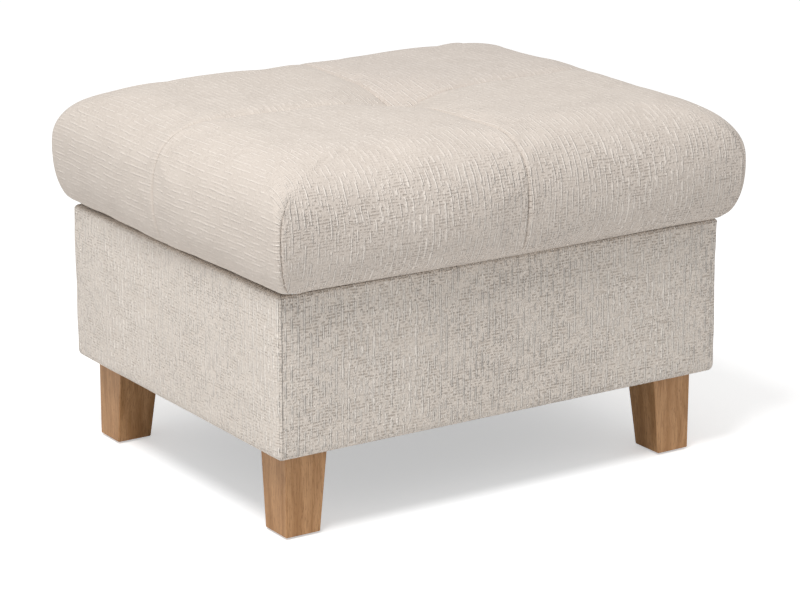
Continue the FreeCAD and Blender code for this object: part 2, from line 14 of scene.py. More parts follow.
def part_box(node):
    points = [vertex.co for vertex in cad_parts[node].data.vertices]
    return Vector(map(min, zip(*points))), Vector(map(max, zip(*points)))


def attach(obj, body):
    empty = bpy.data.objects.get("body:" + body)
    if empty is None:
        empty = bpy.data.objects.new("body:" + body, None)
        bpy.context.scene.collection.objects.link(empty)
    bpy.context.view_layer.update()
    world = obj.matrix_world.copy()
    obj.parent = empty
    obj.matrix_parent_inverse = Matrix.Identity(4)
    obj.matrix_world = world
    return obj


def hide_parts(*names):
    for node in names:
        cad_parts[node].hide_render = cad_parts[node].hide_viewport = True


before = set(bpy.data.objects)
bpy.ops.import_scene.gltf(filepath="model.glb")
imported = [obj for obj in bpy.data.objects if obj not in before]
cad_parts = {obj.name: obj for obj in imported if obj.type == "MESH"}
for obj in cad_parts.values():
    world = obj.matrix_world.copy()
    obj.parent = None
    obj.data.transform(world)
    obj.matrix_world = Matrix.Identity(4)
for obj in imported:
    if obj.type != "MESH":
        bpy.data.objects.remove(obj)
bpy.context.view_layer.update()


# Base boards
# Four particle boards on edge make a bottomless box, the long ones lapping the ends of the short ones.
# They are raw: pressed chips on the faces, the same chips seen coarser on the sawn edges.

class Shade:
    """One value on its way through a finish. Sums written with it add Math nodes to that finish."""

    def __init__(self, finish, socket):
        self.finish = finish
        self.socket = socket

    def math(self, operation, *values):
        sockets = dict(enumerate(values))
        return self.finish.node("ShaderNodeMath", {"operation": operation}, sockets)

    def __add__(self, other):
        return self.math("ADD", self, other)

    def __radd__(self, other):
        return self.math("ADD", other, self)

    def __sub__(self, other):
        return self.math("SUBTRACT", self, other)

    def __rsub__(self, other):
        return self.math("SUBTRACT", other, self)

    def __mul__(self, other):
        return self.math("MULTIPLY", self, other)

    def __rmul__(self, other):
        return self.math("MULTIPLY", other, self)

    def __truediv__(self, other):
        return self.math("DIVIDE", self, other)

    def __abs__(self):
        return self.math("ABSOLUTE", self)


class Finish:
    """A material made of nodes around one shader. Constants go straight onto the shader's sockets."""

    def __init__(self, name, **constants):
        self.material = bpy.data.materials.new(name)
        self.material.use_nodes = True
        self.tree = self.material.node_tree
        self.shader = self.tree.nodes["Principled BSDF"]
        for socket, value in constants.items():
            self.shader.inputs[socket.replace("_", " ").title().replace("Ior", "IOR")].default_value = value

    def node(self, kind, settings=None, sockets=None, out=0):
        """Adds a node: its settings first, then the values or links of its sockets. Returns one output."""
        made = self.tree.nodes.new(kind)
        for key, value in (settings or {}).items():
            setattr(made, key, value)
        for key, value in (sockets or {}).items():
            if isinstance(value, Shade):
                self.tree.links.new(value.socket, made.inputs[key])
            else:
                made.inputs[key].default_value = value
        return Shade(self, made.outputs[out])

    def place(self):
        """Where a point is on the stool."""
        return self.node("ShaderNodeTexCoord", out="Object")

    def scaled(self, vector, scale):
        return self.node("ShaderNodeVectorMath", {"operation": "MULTIPLY"}, {0: vector, 1: scale})

    def shifted(self, vector, shift):
        return self.node("ShaderNodeVectorMath", {"operation": "ADD"}, {0: vector, 1: shift})

    def joined(self, x, y, z=0.0):
        return self.node("ShaderNodeCombineXYZ", sockets={"X": x, "Y": y, "Z": z})

    def part_of(self, vector, axis):
        return self.node("ShaderNodeSeparateXYZ", sockets={0: vector}, out=axis)

    def cloud(self, vector, scale, detail=2.0, roughness=0.5, distortion=0.0):
        """Soft noise between about 0.2 and 0.8; scale is in blobs per metre."""
        return self.node("ShaderNodeTexNoise", sockets={
            "Vector": vector, "Scale": scale, "Detail": detail, "Roughness": roughness,
            "Distortion": distortion})

    def spread(self, value, low, high):
        """0 below low, 1 above high, and an even slope between them."""
        return self.node("ShaderNodeMapRange", {"interpolation_type": "SMOOTHSTEP"},
                         {"Value": value, "From Min": low, "From Max": high})

    def blend(self, share, first, second, how="MIX"):
        """From the first colour to the second as the share goes from 0 to 1."""
        settings = {"data_type": "RGBA", "blend_type": how}
        return self.node("ShaderNodeMix", settings, {0: share, 6: first, 7: second}, out=2)

    def done(self, colour, roughness, height=None, relief=0.001, strength=1.0):
        """Joins the finished colour, roughness and relief to the shader and returns the material."""
        self.tree.links.new(colour.socket, self.shader.inputs["Base Color"])
        self.tree.links.new(roughness.socket, self.shader.inputs["Roughness"])
        if height is not None:
            bump = self.node("ShaderNodeBump", sockets={
                "Height": height, "Distance": relief, "Strength": strength})
            self.tree.links.new(bump.socket, self.shader.inputs["Normal"])
        return self.material


def paint(red, green, blue):
    """A colour given in the 0 to 255 of a paint card."""
    def light(value):
        share = value / 255
        return share / 12.92 if share < 0.04045 else ((share + 0.055) / 1.055) ** 2.4
    return (light(red), light(green), light(blue), 1.0)


def dress(material, *nodes):
    """Gives CAD nodes their finish in place of the plain one that they come with."""
    for node in nodes:
        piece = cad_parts[node]
        if not piece.data.materials:
            piece.data.materials.append(material)
        for slot in piece.material_slots:
            slot.material = material


def pressed_chips():
    finish = Finish("pressed chips")
    place = finish.place()
    chips = finish.node("ShaderNodeTexVoronoi", {"feature": "F1"}, {
        "Vector": finish.scaled(place, (1.0, 1.0, 1.6)), "Scale": 210.0}, out="Color")
    tone = finish.part_of(chips, 0)
    dust = finish.cloud(place, 900.0, detail=3.0)
    colour = finish.blend(tone, paint(196, 164, 118), paint(222, 196, 152))
    colour = finish.blend(finish.spread(dust, 0.35, 0.7), colour, paint(176, 142, 98))
    return finish.done(colour, 0.72 + 0.2 * dust, tone * 0.5 + dust, relief=0.0006)


sides = ("front", "back", "left", "right")
corners = ("front_left", "front_right", "back_left", "back_right")
dress(pressed_chips(), *(f"base_board_{side}" for side in sides))


# Cleats and corner blocks
# Planed softwood glued inside the carcass: battens that the seat is screwed to, and thick corner blocks
# that take the leg bolts. Pale with amber growth lines running along each piece, and a few pores.

def softwood(name, along):
    """Softwood with its growth lines along one axis."""
    finish = Finish(name)
    place = finish.place()
    stretch = [14.0, 14.0, 14.0]
    stretch[along] = 0.9
    drawn_out = finish.scaled(place, tuple(stretch))
    bend = finish.cloud(drawn_out, 1.3, detail=2.0)
    lines = finish.node("ShaderNodeTexWave", {"wave_type": "RINGS", "rings_direction": "XYZ"[along]}, {
        "Vector": finish.shifted(drawn_out, finish.joined(bend * 0.8, 1.7 + bend * 0.6, 0.9 + bend * 0.7)),
        "Scale": 2.6, "Distortion": 1.6, "Detail": 2.0, "Detail Scale": 0.8}, out="Fac")
    fibre = finish.cloud(finish.scaled(drawn_out, (9.0, 9.0, 9.0)), 3.0, detail=3.0)
    colour = finish.blend(lines, paint(226, 196, 150), paint(198, 152, 98))
    colour = finish.blend(finish.spread(fibre, 0.45, 0.75) * 0.4, colour, paint(170, 124, 78))
    return finish.done(colour, 0.5 + 0.25 * fibre, lines * 0.4 + fibre * 0.6, relief=0.0004)


pine_lengthwise = softwood("softwood lengthwise", 0)
pine_crosswise = softwood("softwood crosswise", 1)
dress(pine_crosswise, "base_cleat_left", "base_cleat_right")
dress(pine_lengthwise, *(f"base_corner_block_{corner}" for corner in corners))


# Base padding and base cover
# A layer of fibre wadding lies on each board. Over it a chenille panel for each side, sewn to the next at
# a plain upright seam on the corner, is drawn over the box's edges and stapled above and below.

base_half_x = 0.320
base_half_y = 0.250
base_middle_y = 0.005
base_floor = 0.105
base_roof = 0.304
front_turn = 0.006            # plan radius of the seamed front corners
back_turn = 0.010             # plan radius of the back corners
board_face = 0.010            # from the cover's outside to the board behind the padding
lower_roll = 0.010            # rounding of the padded lower edge
upper_roll = 0.005
turned_in = 0.034             # width of fabric turned in over the boards
base_cloth = 0.0016
under_cloth = 0.0003          # the wadding starts this far under the fabric
thinnest_side = 0.004         # rows of wadding thinner than this are left out
pad_margin = 0.001            # the wadding's back ends this far inside the height of its CAD piece
front_steps = 72              # faces along the front, and along the back
end_steps = 56                # and along each end
turn_steps = 8                # faces round a corner
above_boards = 0.0004         # the fabric lies this far inside the box's top
below_boards = 0.0003
fabric_lay = "lay"            # mesh attribute: where a point lies on the unrolled fabric, and its boldness
# Painted light: besides the relief, the weave's painted contrast is bolder on the front and back than on the
# ends, after how the light falls across each face.
bold_face = 1.75              # how boldly the weave stands out on the base's front and back
bold_end = 1.00               # and on its ends


def drift(places, spacing, seed):
    """Slow unevenness, mostly between -1 and 1, made of a few crossed waves about one spacing long."""
    draw = np.random.default_rng(seed)
    total = np.zeros(len(places))
    for _ in range(8):
        way = draw.normal(size=3)
        way /= np.linalg.norm(way)
        length = spacing * draw.uniform(0.7, 1.5)
        total += np.sin(places @ way * (2 * math.pi / length) + draw.uniform(0, 2 * math.pi))
    return total / 2.6


def grid_faces(numbers):
    """Four-sided faces over a table of vertex numbers."""
    return [(int(numbers[i, j]), int(numbers[i, j + 1]), int(numbers[i + 1, j + 1]), int(numbers[i + 1, j]))
            for i in range(numbers.shape[0] - 1) for j in range(numbers.shape[1] - 1)]


def outward(points, faces):
    """The direction away from the surface at each point."""
    corners_of = np.array(faces)
    across = points[corners_of[:, 2]] - points[corners_of[:, 0]]
    along = points[corners_of[:, 3]] - points[corners_of[:, 1]]
    face_ways = np.cross(across, along)
    ways = np.zeros_like(points)
    for i in range(4):
        np.add.at(ways, corners_of[:, i], face_ways)
    return ways / np.maximum(np.linalg.norm(ways, axis=1), 1e-12)[:, None]


def piece_of(name, points, faces, material, lay=None):
    """A smooth-shaded mesh, carrying the lay of its fabric where it has one."""
    mesh = bpy.data.meshes.new(name)
    mesh.from_pydata([tuple(p) for p in points], [], faces)
    mesh.polygons.foreach_set("use_smooth", [True] * len(mesh.polygons))
    if lay is not None:
        stored = mesh.attributes.new(fabric_lay, "FLOAT_VECTOR", "POINT")
        stored.data.foreach_set("vector", np.asarray(lay, np.float32).ravel())
    mesh.materials.append(material)
    piece = bpy.data.objects.new(name, mesh)
    bpy.context.scene.collection.objects.link(piece)
    return piece


def apply_all(piece):
    """Turns a piece's modifiers into plain mesh."""
    graph = bpy.context.evaluated_depsgraph_get()
    final = bpy.data.meshes.new_from_object(piece.evaluated_get(graph), depsgraph=graph)
    final.name = piece.name
    piece.modifiers.clear()
    piece.data = final


def closed_pad(name, outer, inner, numbers, material, lay=None):
    """A closed piece between an outer and an inner grid of points with the same layout."""
    count = len(outer)
    faces = grid_faces(numbers)
    back = [tuple(count + v for v in reversed(face)) for face in faces]
    rim = list(numbers[0]) + list(numbers[1:, -1]) + list(numbers[-1, -2::-1]) + list(numbers[-2:0:-1, 0])
    edge = [(int(b), int(a), int(a) + count, int(b) + count) for a, b in zip(rim, rim[1:] + rim[:1])]
    lays = None if lay is None else np.concatenate([lay, lay])
    return piece_of(name, np.concatenate([outer, inner]), faces + back + edge, material, lays)


def weld(piece):
    """Joins the points of a piece that fall together, which drops the faces between them."""
    mesh = bmesh.new()
    mesh.from_mesh(piece.data)
    bmesh.ops.remove_doubles(mesh, verts=mesh.verts, dist=0.00001)
    mesh.to_mesh(piece.data)
    mesh.free()


def chenille(name, light, shadow):
    """Slubbed chenille: a raised pale thread every few mm that comes and goes, and a ladder of rungs between,
    whose hollows are painted darker as shade.

    The third number of the lay says how boldly the weave stands out there, in relief and in painted contrast;
    the contrast is painted light, set by how the light falls on each face.
    """
    finish = Finish(name, sheen_weight=0.10, sheen_roughness=0.5, specular_ior_level=0.2)
    stored = finish.node("ShaderNodeAttribute", {"attribute_name": fabric_lay, "attribute_type": "GEOMETRY"},
                         out="Vector")
    lay = finish.scaled(stored, (1.0, 1.0, 0.0))
    boldness = finish.part_of(stored, 2)
    sway = finish.cloud(lay, 22.0, detail=1.0)
    sag = finish.cloud(lay, 34.0, detail=1.0)
    across = finish.part_of(lay, 0) + (sway - 0.5) * 0.0045
    along = finish.part_of(lay, 1) + (sag - 0.5) * 0.0040

    def numbered(value):
        """Which stripe a value falls in, and how far it is from that stripe's middle."""
        whole = finish.node("ShaderNodeMath", {"operation": "FLOOR"}, {0: value})
        return whole, abs(value - whole - 0.5)

    def lines(away, shown, pitch, half_width, share_shown):
        """Rounded lines, a pitch apart, that come and go with the noise that shows them."""
        line = 1 - finish.spread(away, half_width * 0.2 / pitch, half_width / pitch)
        return line * finish.spread(shown, 0.56 - share_shown, 0.64 - share_shown)

    def ribs(pitch, half_width, run, share_shown, start):
        """Threads along the warp, each showing for a run at a time."""
        thread, away = numbered(across / pitch + start)
        shown = finish.cloud(finish.joined(thread * 3.71 + start, along / run), 1.0, detail=1.0)
        return lines(away, shown, pitch, half_width, share_shown), shown

    def rungs(pitch, half_width, run, share_shown, start):
        """Short hollows across the warp, which the weave paints darker as shade."""
        row, away = numbered(along / pitch + start)
        shown = finish.cloud(finish.joined(across / run, row * 5.37 + start), 1.0, detail=1.0)
        return lines(away, shown, pitch, half_width, share_shown)

    slubs, tone_of_slub = ribs(pitch=0.0085, half_width=0.0017, run=0.017, share_shown=0.12, start=0.0)
    thin_slubs, _ = ribs(pitch=0.0043, half_width=0.0013, run=0.012, share_shown=0.08, start=13.5)
    ladder = rungs(pitch=0.0036, half_width=0.0012, run=0.0046, share_shown=0.09, start=0.0)
    long_rungs = rungs(pitch=0.0110, half_width=0.0011, run=0.018, share_shown=-0.03, start=7.7)
    patches = finish.spread(finish.cloud(lay, 20.0, detail=2.0), 0.36, 0.60)
    hollows_sunk_and_shaded = ladder * (0.45 + 0.55 * patches) + long_rungs * 0.6
    nap = finish.cloud(lay, 24.0, detail=3.0)
    grain = finish.cloud(finish.scaled(lay, (1.0, 0.55, 1.0)), 560.0, detail=2.0, roughness=0.65)
    raised = slubs * (0.5 + 0.6 * tone_of_slub) + thin_slubs * 0.5
    # Painted shade: the hollows darken the colour as well as sinking the relief.
    weave = (grain - 0.5) * 0.60 + raised * 0.66 - hollows_sunk_and_shaded * 0.31
    tone = 0.50 + (nap - 0.5) * 0.20 + weave * boldness
    colour = finish.blend(finish.node("ShaderNodeClamp", sockets={0: tone}), shadow, light)
    height = (raised * 1.35 + grain * 0.72 - hollows_sunk_and_shaded * 0.45) * boldness
    return finish.done(colour, 0.80 + 0.15 * grain, height, relief=0.0011, strength=1.0)


def wadding_fibre():
    """White fibre: matted curls with soft hollows between them, the hollows painted grey as shade."""
    finish = Finish("wadding fibre", sheen_weight=0.2)
    place = finish.place()
    curls = finish.cloud(place, 260.0, detail=4.0, roughness=0.65, distortion=1.6)
    tufts = finish.cloud(place, 45.0, detail=2.0)
    # Painted shade: greyer in the hollows between the curls.
    colour = finish.blend(finish.spread(curls, 0.35, 0.65), paint(214, 214, 212), paint(246, 246, 244))
    return finish.done(colour, 0.85 + 0.1 * curls, curls + tufts * 0.8, relief=0.0015)


def base_outline(inset):
    """Points round the base, from the front left corner to the right."""
    half_x = base_half_x - inset
    half_y = base_half_y - inset
    found = []

    def run(start, end, steps):
        for i in range(steps):
            found.append(start + (end - start) * i / steps)

    def turn(centre, radius, first, last):
        for i in range(turn_steps):
            angle = math.radians(first + (last - first) * i / turn_steps)
            found.append(centre + radius * np.array([math.cos(angle), math.sin(angle)]))

    def at(x, y):
        return np.array([x, base_middle_y + y])

    front = max(front_turn - inset, 0.0005)
    back = max(back_turn - inset, 0.0005)
    run(at(-half_x + front, -half_y), at(half_x - front, -half_y), front_steps)
    turn(at(half_x - front, -half_y + front), front, -90, 0)
    run(at(half_x, -half_y + front), at(half_x, half_y - back), end_steps)
    turn(at(half_x - back, half_y - back), back, 0, 90)
    run(at(half_x - back, half_y), at(-half_x + back, half_y), front_steps)
    turn(at(-half_x + back, half_y - back), back, 90, 180)
    run(at(-half_x, half_y - back), at(-half_x, -half_y + front), end_steps)
    turn(at(-half_x + front, -half_y + front), front, 180, 270)
    return np.array(found)


def base_levels(inset):
    """How the fabric goes from its inner edge above, round the box's edges, to its inner edge below.

    Each level is (how far it is taken in, height, distance along the fabric).
    """
    top = base_roof - above_boards - inset
    low = base_floor + below_boards + inset
    face_top = top - upper_roll
    face_low = low + lower_roll
    upper_steps, face_steps, lower_steps = 5, 24, 6
    path = [(turned_in, top), (0.020, top)]
    for i in range(upper_steps + 1):
        angle = math.radians(90 * i / upper_steps)
        path.append((upper_roll - upper_roll * math.sin(angle), face_top + upper_roll * math.cos(angle)))
    for i in range(1, face_steps):
        path.append((0.0, face_top + (face_low - face_top) * i / face_steps))
    for i in range(lower_steps + 1):
        angle = math.radians(90 * i / lower_steps)
        path.append((lower_roll - lower_roll * math.cos(angle), face_low - lower_roll * math.sin(angle)))
    path += [(0.022, low), (turned_in, low)]
    run = np.concatenate([[0], np.cumsum(np.linalg.norm(np.diff(np.array(path), axis=0), axis=1))])
    return [(inset + away, z, length) for (away, z), length in zip(path, run)]


def outline_way(outline):
    """How far each point of a closed outline faces along x, between -1 and 1."""
    way = np.roll(outline, -1, axis=0) - np.roll(outline, 1, axis=0)
    return way[:, 1] / np.linalg.norm(way, axis=1)


def base_skin(inset):
    """The base's soft outside as a grid of levels by outline points, with the lay of the fabric."""
    levels = base_levels(inset)
    rows = [base_outline(away) for away, _, _ in levels]
    round_the_box = base_outline(0.0)
    steps = np.linalg.norm(np.diff(np.vstack([round_the_box, round_the_box[:1]]), axis=0), axis=1)
    round_run = np.concatenate([[0], np.cumsum(steps)])[:-1]
    points = np.array([[(x, y, z) for x, y in row] for row, (_, z, _) in zip(rows, levels)])
    facing = [abs(way_x) for way_x in outline_way(round_the_box)]
    lays = np.array([[(run, length, bold_face + (bold_end - bold_face) * share)
                      for run, share in zip(round_run, facing)] for _, _, length in levels])
    return points, lays


base_rows, base_lays = base_skin(0.0)
base_girth = 4 * (base_half_x + base_half_y)
belly = 0.0016                # how far the padding swells half way up a side
belly_start = 0.030           # distance from a corner in which it swells to that
broad_waves = 0.0006          # unevenness of the padding: broad and small
small_waves = 0.0003
seam_depth = 0.0014           # of the furrow along the seamed front corners
seam_spread = 0.006
inside_box = np.array([0.0, base_middle_y, 0.2])

face_share = np.clip((base_rows[:, :, 2] - base_floor) / (base_roof - base_floor), 0, 1)
flat_places = base_rows.reshape(-1, 3)
unevenness = broad_waves * drift(flat_places, 0.15, 3) + small_waves * drift(flat_places, 0.045, 4)
from_corner = np.maximum(base_half_x - np.abs(base_rows[:, :, 0]),
                         base_half_y - np.abs(base_rows[:, :, 1] - base_middle_y))
seam_pull = seam_depth * np.exp(-from_corner / seam_spread) * (base_rows[:, :, 1] < 0)
on_face = np.sin(math.pi * np.clip(face_share * 1.02, 0, 1)) ** 0.25
swell = (belly * np.sin(math.pi * face_share) ** 0.8 * (1 - np.exp(-from_corner / belly_start))
         + (unevenness.reshape(face_share.shape) - seam_pull) * on_face)


def swollen(rows, amount):
    """Moves a grid of rows level with the ground outward by the given amounts."""
    before = np.roll(rows, 1, axis=1)
    after = np.roll(rows, -1, axis=1)
    way = after - before
    away = np.stack([way[:, :, 1], -way[:, :, 0], np.zeros(way.shape[:2])], axis=2)
    away /= np.maximum(np.linalg.norm(away, axis=2), 1e-9)[:, :, None]
    return rows + away * amount[:, :, None]


base_outside = swollen(base_rows, swell)
steps_of = {"front": front_steps, "right": end_steps, "back": front_steps, "left": end_steps}
total_columns = sum(steps_of.values()) + 4 * turn_steps
starts, next_start = {}, 0
for side, steps in steps_of.items():
    starts[side] = next_start
    next_start += steps + turn_steps
# Painted light: the base has the same chenille as the seat, but its copy is painted paler to brighten the
# base as it is lit.
base_chenille_painted_paler = chenille("base chenille", paint(250, 241, 231), paint(200, 188, 176))
fibre = wadding_fibre()
for side in sides:
    half_turn = turn_steps // 2
    columns = [(starts[side] - half_turn + k) % total_columns for k in range(steps_of[side] + turn_steps + 1)]
    panel = base_outside[:, columns]
    lay = base_lays[:, columns].copy()
    lay[:, :, 0] = (lay[:, :, 0] - lay[0, half_turn, 0] + base_girth / 2) % base_girth
    numbers = np.arange(panel.shape[0] * panel.shape[1]).reshape(panel.shape[:2])
    outer = panel.reshape(-1, 3)
    faces = grid_faces(numbers)
    ways = outward(outer, faces)
    if np.sum(ways * (outer - inside_box)) < 0:
        numbers = numbers[:, ::-1]
        ways = -ways
    cover = closed_pad(f"base_panel_{side}", outer, outer - ways * base_cloth, numbers, base_chenille_painted_paler,
                       lay.reshape(-1, 3))
    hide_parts(f"base_cover_{side}")
    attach(cover, "root")

    # wadding: from just under the fabric to the board's face
    pad_outer = outer - ways * (base_cloth + under_cloth)
    low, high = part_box(f"base_padding_{side}")
    behind = pad_outer.copy()
    reach_x = base_half_x - board_face
    reach_y = base_half_y - board_face
    behind[:, 0] = np.clip(behind[:, 0], -reach_x, reach_x)
    behind[:, 1] = np.clip(behind[:, 1] - base_middle_y, -reach_y, reach_y) + base_middle_y
    behind[:, 2] = np.clip(behind[:, 2], low.z + pad_margin, high.z - pad_margin)
    thickness = np.abs(behind - pad_outer).reshape(panel.shape).max(axis=(1, 2))
    on_side = np.flatnonzero(thickness > thinnest_side)
    kept = numbers[on_side[0]:on_side[-1] + 1]
    renumber = {int(v): i for i, v in enumerate(kept.ravel())}
    small = np.array([[renumber[int(v)] for v in row] for row in kept])
    pad = closed_pad(f"base_wadding_{side}", pad_outer[kept.ravel()], behind[kept.ravel()], small, fibre)
    weld(pad)
    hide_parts(f"base_padding_{side}")
    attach(pad, "root")


# Dust cover
# A black non-woven sheet closes the base from below. It is cut smaller than the box, its edge is stapled
# under the boards, and between the staples it hangs a few millimetres slack.

def pressed_fleece():
    finish = Finish("black fleece", specular_ior_level=0.3)
    place = finish.place()
    dimples = finish.node("ShaderNodeTexVoronoi", {"voronoi_dimensions": "2D"}, {
        "Vector": place, "Scale": 620.0, "Randomness": 0.15})
    hairs = finish.cloud(finish.scaled(place, (1.0, 1.0, 0.0)), 700.0, detail=4.0, distortion=1.2)
    colour = finish.blend(finish.spread(hairs, 0.3, 0.7), paint(22, 22, 23), paint(48, 48, 50))
    height = finish.spread(dimples, 0.1, 0.45) + hairs * 0.4
    return finish.done(colour, 0.7 + 0.25 * hairs, height, relief=0.0003)


dust_low, dust_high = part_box("dust_cover")
dust_columns, dust_rows = 97, 75
dust_x = np.linspace(dust_low.x, dust_high.x, dust_columns)
dust_y = np.linspace(dust_low.y, dust_high.y, dust_rows)
dust_grid = np.array([[(x, y, dust_low.z) for x in dust_x] for y in dust_y])
held_edge = 0.034             # width along the base's edge in which the boards hold it up
slack_start = 0.12            # distance from there in which it sinks to its lowest
dust_slack = 0.0035
dust_ripple = 0.0008
dust_thickness = 0.0005
leg_corner_x = 0.20           # past these distances from the middle the corner blocks hold it flat
leg_corner_y = 0.13
leg_corner_fade = 0.03
from_middle_x = np.abs(dust_grid[:, :, 0])
from_middle_y = np.abs(dust_grid[:, :, 1] - base_middle_y)
slack = (np.clip((base_half_x - held_edge - from_middle_x) / slack_start, 0, 1)
         * np.clip((base_half_y - held_edge - from_middle_y) / slack_start, 0, 1)) ** 0.7
at_legs = (np.clip((from_middle_x - leg_corner_x) / leg_corner_fade, 0, 1)
           * np.clip((from_middle_y - leg_corner_y) / leg_corner_fade, 0, 1))
ripples = drift(dust_grid.reshape(-1, 3), 0.11, 8).reshape(slack.shape)
dust_grid[:, :, 2] -= slack * (1 - at_legs) * (dust_slack + dust_ripple * ripples)
dust_points = dust_grid.reshape(-1, 3)
dust_numbers = np.arange(len(dust_points)).reshape(dust_rows, dust_columns)[::-1]
dust_back = dust_points + np.array([0, 0, dust_thickness])
dust_sheet = closed_pad("dust_sheet", dust_points, dust_back, dust_numbers, pressed_fleece())
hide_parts("dust_cover")
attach(dust_sheet, "root")


# Legs and glides
# Solid beech legs, square, upright on their two outer faces and tapered on the inner two, clear lacquered,
# with fine wavy grain running down them. A moulded glide is pinned under each foot.

def lacquered_beech():
    finish = Finish("lacquered beech", coat_weight=0.12, coat_roughness=0.35, specular_ior_level=0.4)
    place = finish.place()
    bend = finish.cloud(finish.scaled(place, (14.0, 14.0, 9.0)), 1.0, detail=2.0)
    x = finish.part_of(place, 0) + (bend - 0.5) * 0.012
    y = finish.part_of(place, 1) + (bend - 0.5) * 0.009
    z = finish.part_of(place, 2)
    broad = finish.cloud(finish.joined(x * 110.0, y * 110.0, z * 7.0), 1.0, detail=3.0, roughness=0.55)
    fibre = finish.cloud(finish.joined(x * 620.0, y * 620.0, z * 34.0), 1.0, detail=3.0, roughness=0.6)
    flecks = finish.cloud(finish.joined(x * 900.0, y * 900.0, z * 130.0), 1.0, detail=1.0)
    colour = finish.blend(finish.spread(broad, 0.32, 0.68), paint(196, 150, 105), paint(170, 124, 79))
    colour = finish.blend(finish.spread(fibre, 0.46, 0.68) * 0.55, colour, paint(140, 96, 55))
    colour = finish.blend(finish.spread(flecks, 0.60, 0.72) * 0.5, colour, paint(126, 84, 48))
    return finish.done(colour, 0.42 + 0.18 * fibre, fibre * 0.7 + broad * 0.3, relief=0.00025, strength=0.6)


def moulded_plastic(name, dark, light, rough):
    finish = Finish(name)
    place = finish.place()
    speckle = finish.cloud(place, 1800.0, detail=2.0)
    wear = finish.cloud(place, 120.0, detail=3.0)
    colour = finish.blend(finish.spread(wear, 0.4, 0.7), dark, light)
    return finish.done(colour, rough + 0.2 * wear, speckle, relief=0.0001)


dress(lacquered_beech(), *(f"leg_{corner}" for corner in corners))
dress(moulded_plastic("glide plastic", paint(44, 42, 40), paint(62, 60, 57), 0.45),
      *(f"leg_glide_{corner}" for corner in corners))


# Seat frame
# Softwood rails laid flat, dowelled at the four corners, which are rounded so that the cover turns softly
# round them. The seat is a unit of its own, screwed down through the cleats.

dress(pine_lengthwise, "seat_rail_front", "seat_rail_back")
dress(pine_crosswise, "seat_rail_left", "seat_rail_right")
dress(softwood("dowel wood", 1), "seat_rail_dowels")


# Springs, clips, tie wires and fixings
# Oiled zigzag springs held by folded clips, two tie wires across them, and zinc-plated screws, bolts,
# nuts and staples.

def drawn_steel(name, dark, light, rough):
    """Wire or plate with faint lengthwise dullness and small specks of plating or oil."""
    finish = Finish(name)
    place = finish.place()
    dull = finish.cloud(place, 140.0, detail=4.0, roughness=0.6)
    specks = finish.cloud(place, 1500.0, detail=2.0)
    colour = finish.blend(finish.spread(dull, 0.3, 0.7), dark, light)
    metal = 0.92 + 0.08 * specks
    finish.tree.links.new(metal.socket, finish.shader.inputs["Metallic"])
    return finish.done(colour, rough + 0.25 * dull, specks, relief=0.00005)


spring_steel = drawn_steel("oiled spring steel", paint(72, 70, 70), paint(112, 108, 104), 0.32)
zinc_steel = drawn_steel("zinc-plated steel", paint(150, 150, 148), paint(196, 194, 186), 0.28)
dress(spring_steel, *(f"seat_spring_{i}" for i in range(1, 7)), "spring_tie_wires")
dress(zinc_steel, "spring_clips", "leg_bolts", "leg_tee_nuts", "seat_fixing_screws", "base_board_screws",
      "dust_cover_staples", "seat_cover_staples", "base_cover_staples")


# Felt and foam
# Needled grey felt is laid over the springs so that they don't cut the filling. On it lies the foam block,
# flat on top, hollowed underneath to the springs' arch and rounded on its upper edges.

def soft_block(name, low, high, rounding, underside, steps, material):
    """A closed block with rounded upper edges and corners, whose underside follows a curve in y."""
    half = (high - low) / 2
    middle = (high + low) / 2
    shares = [np.linspace(-1, 1, count + 1) for count in steps]
    seen, points, faces = {}, [], []

    def number(i, j, k):
        if (i, j, k) not in seen:
            seen[i, j, k] = len(points)
            points.append([shares[0][i], shares[1][j], shares[2][k]])
        return seen[i, j, k]

    def wall(axis, end, first, second, turned):
        for a in range(steps[first]):
            for b in range(steps[second]):
                loop = []
                for da, db in ((0, 0), (1, 0), (1, 1), (0, 1)):
                    spot = [0, 0, 0]
                    spot[axis] = end
                    spot[first] = a + da
                    spot[second] = b + db
                    loop.append(number(*spot))
                faces.append(tuple(reversed(loop)) if turned else tuple(loop))

    for axis, first, second in ((0, 1, 2), (1, 2, 0), (2, 0, 1)):
        wall(axis, 0, first, second, True)
        wall(axis, steps[axis], first, second, False)
    places = np.array(points) * half + middle
    core_low = low + rounding
    core_high = high - rounding
    core_low[2] = low[2] - 1.0
    core = np.clip(places, core_low, core_high)
    away = places - core
    reach = np.linalg.norm(away, axis=1)
    outside = reach > rounding
    places[outside] = core[outside] + away[outside] * (rounding / reach[outside])[:, None]
    share = np.clip((high[2] - places[:, 2]) / (high[2] - low[2]), 0, 1)
    places[:, 2] += share * underside(places[:, 1])
    return piece_of(name, places, faces, material)


spring_reach = 0.200          # from the middle of a spring to its last run
felt_rise = 0.015             # of the felt's middle above its ends
foam_rounding = 0.040         # of its upper edges and upright corners


def spring_arch(y):
    return felt_rise * np.clip(1 - (y / spring_reach) ** 2, 0, 1)


def open_cell_foam():
    finish = Finish("open-cell foam", specular_ior_level=0.2)
    place = finish.place()
    cells = finish.node("ShaderNodeTexVoronoi", {"feature": "DISTANCE_TO_EDGE"}, {
        "Vector": place, "Scale": 650.0})
    tone = finish.cloud(place, 18.0, detail=2.0)
    # Painted shade: the cells' hollows are painted darker than their walls.
    walls = finish.spread(cells, 0.02, 0.16)
    colour = finish.blend(walls, paint(238, 228, 196), paint(206, 192, 152))
    colour = finish.blend(tone * 0.4, colour, paint(226, 206, 158))
    return finish.done(colour, 0.8 + 0.1 * tone, 1 - walls, relief=0.0006)


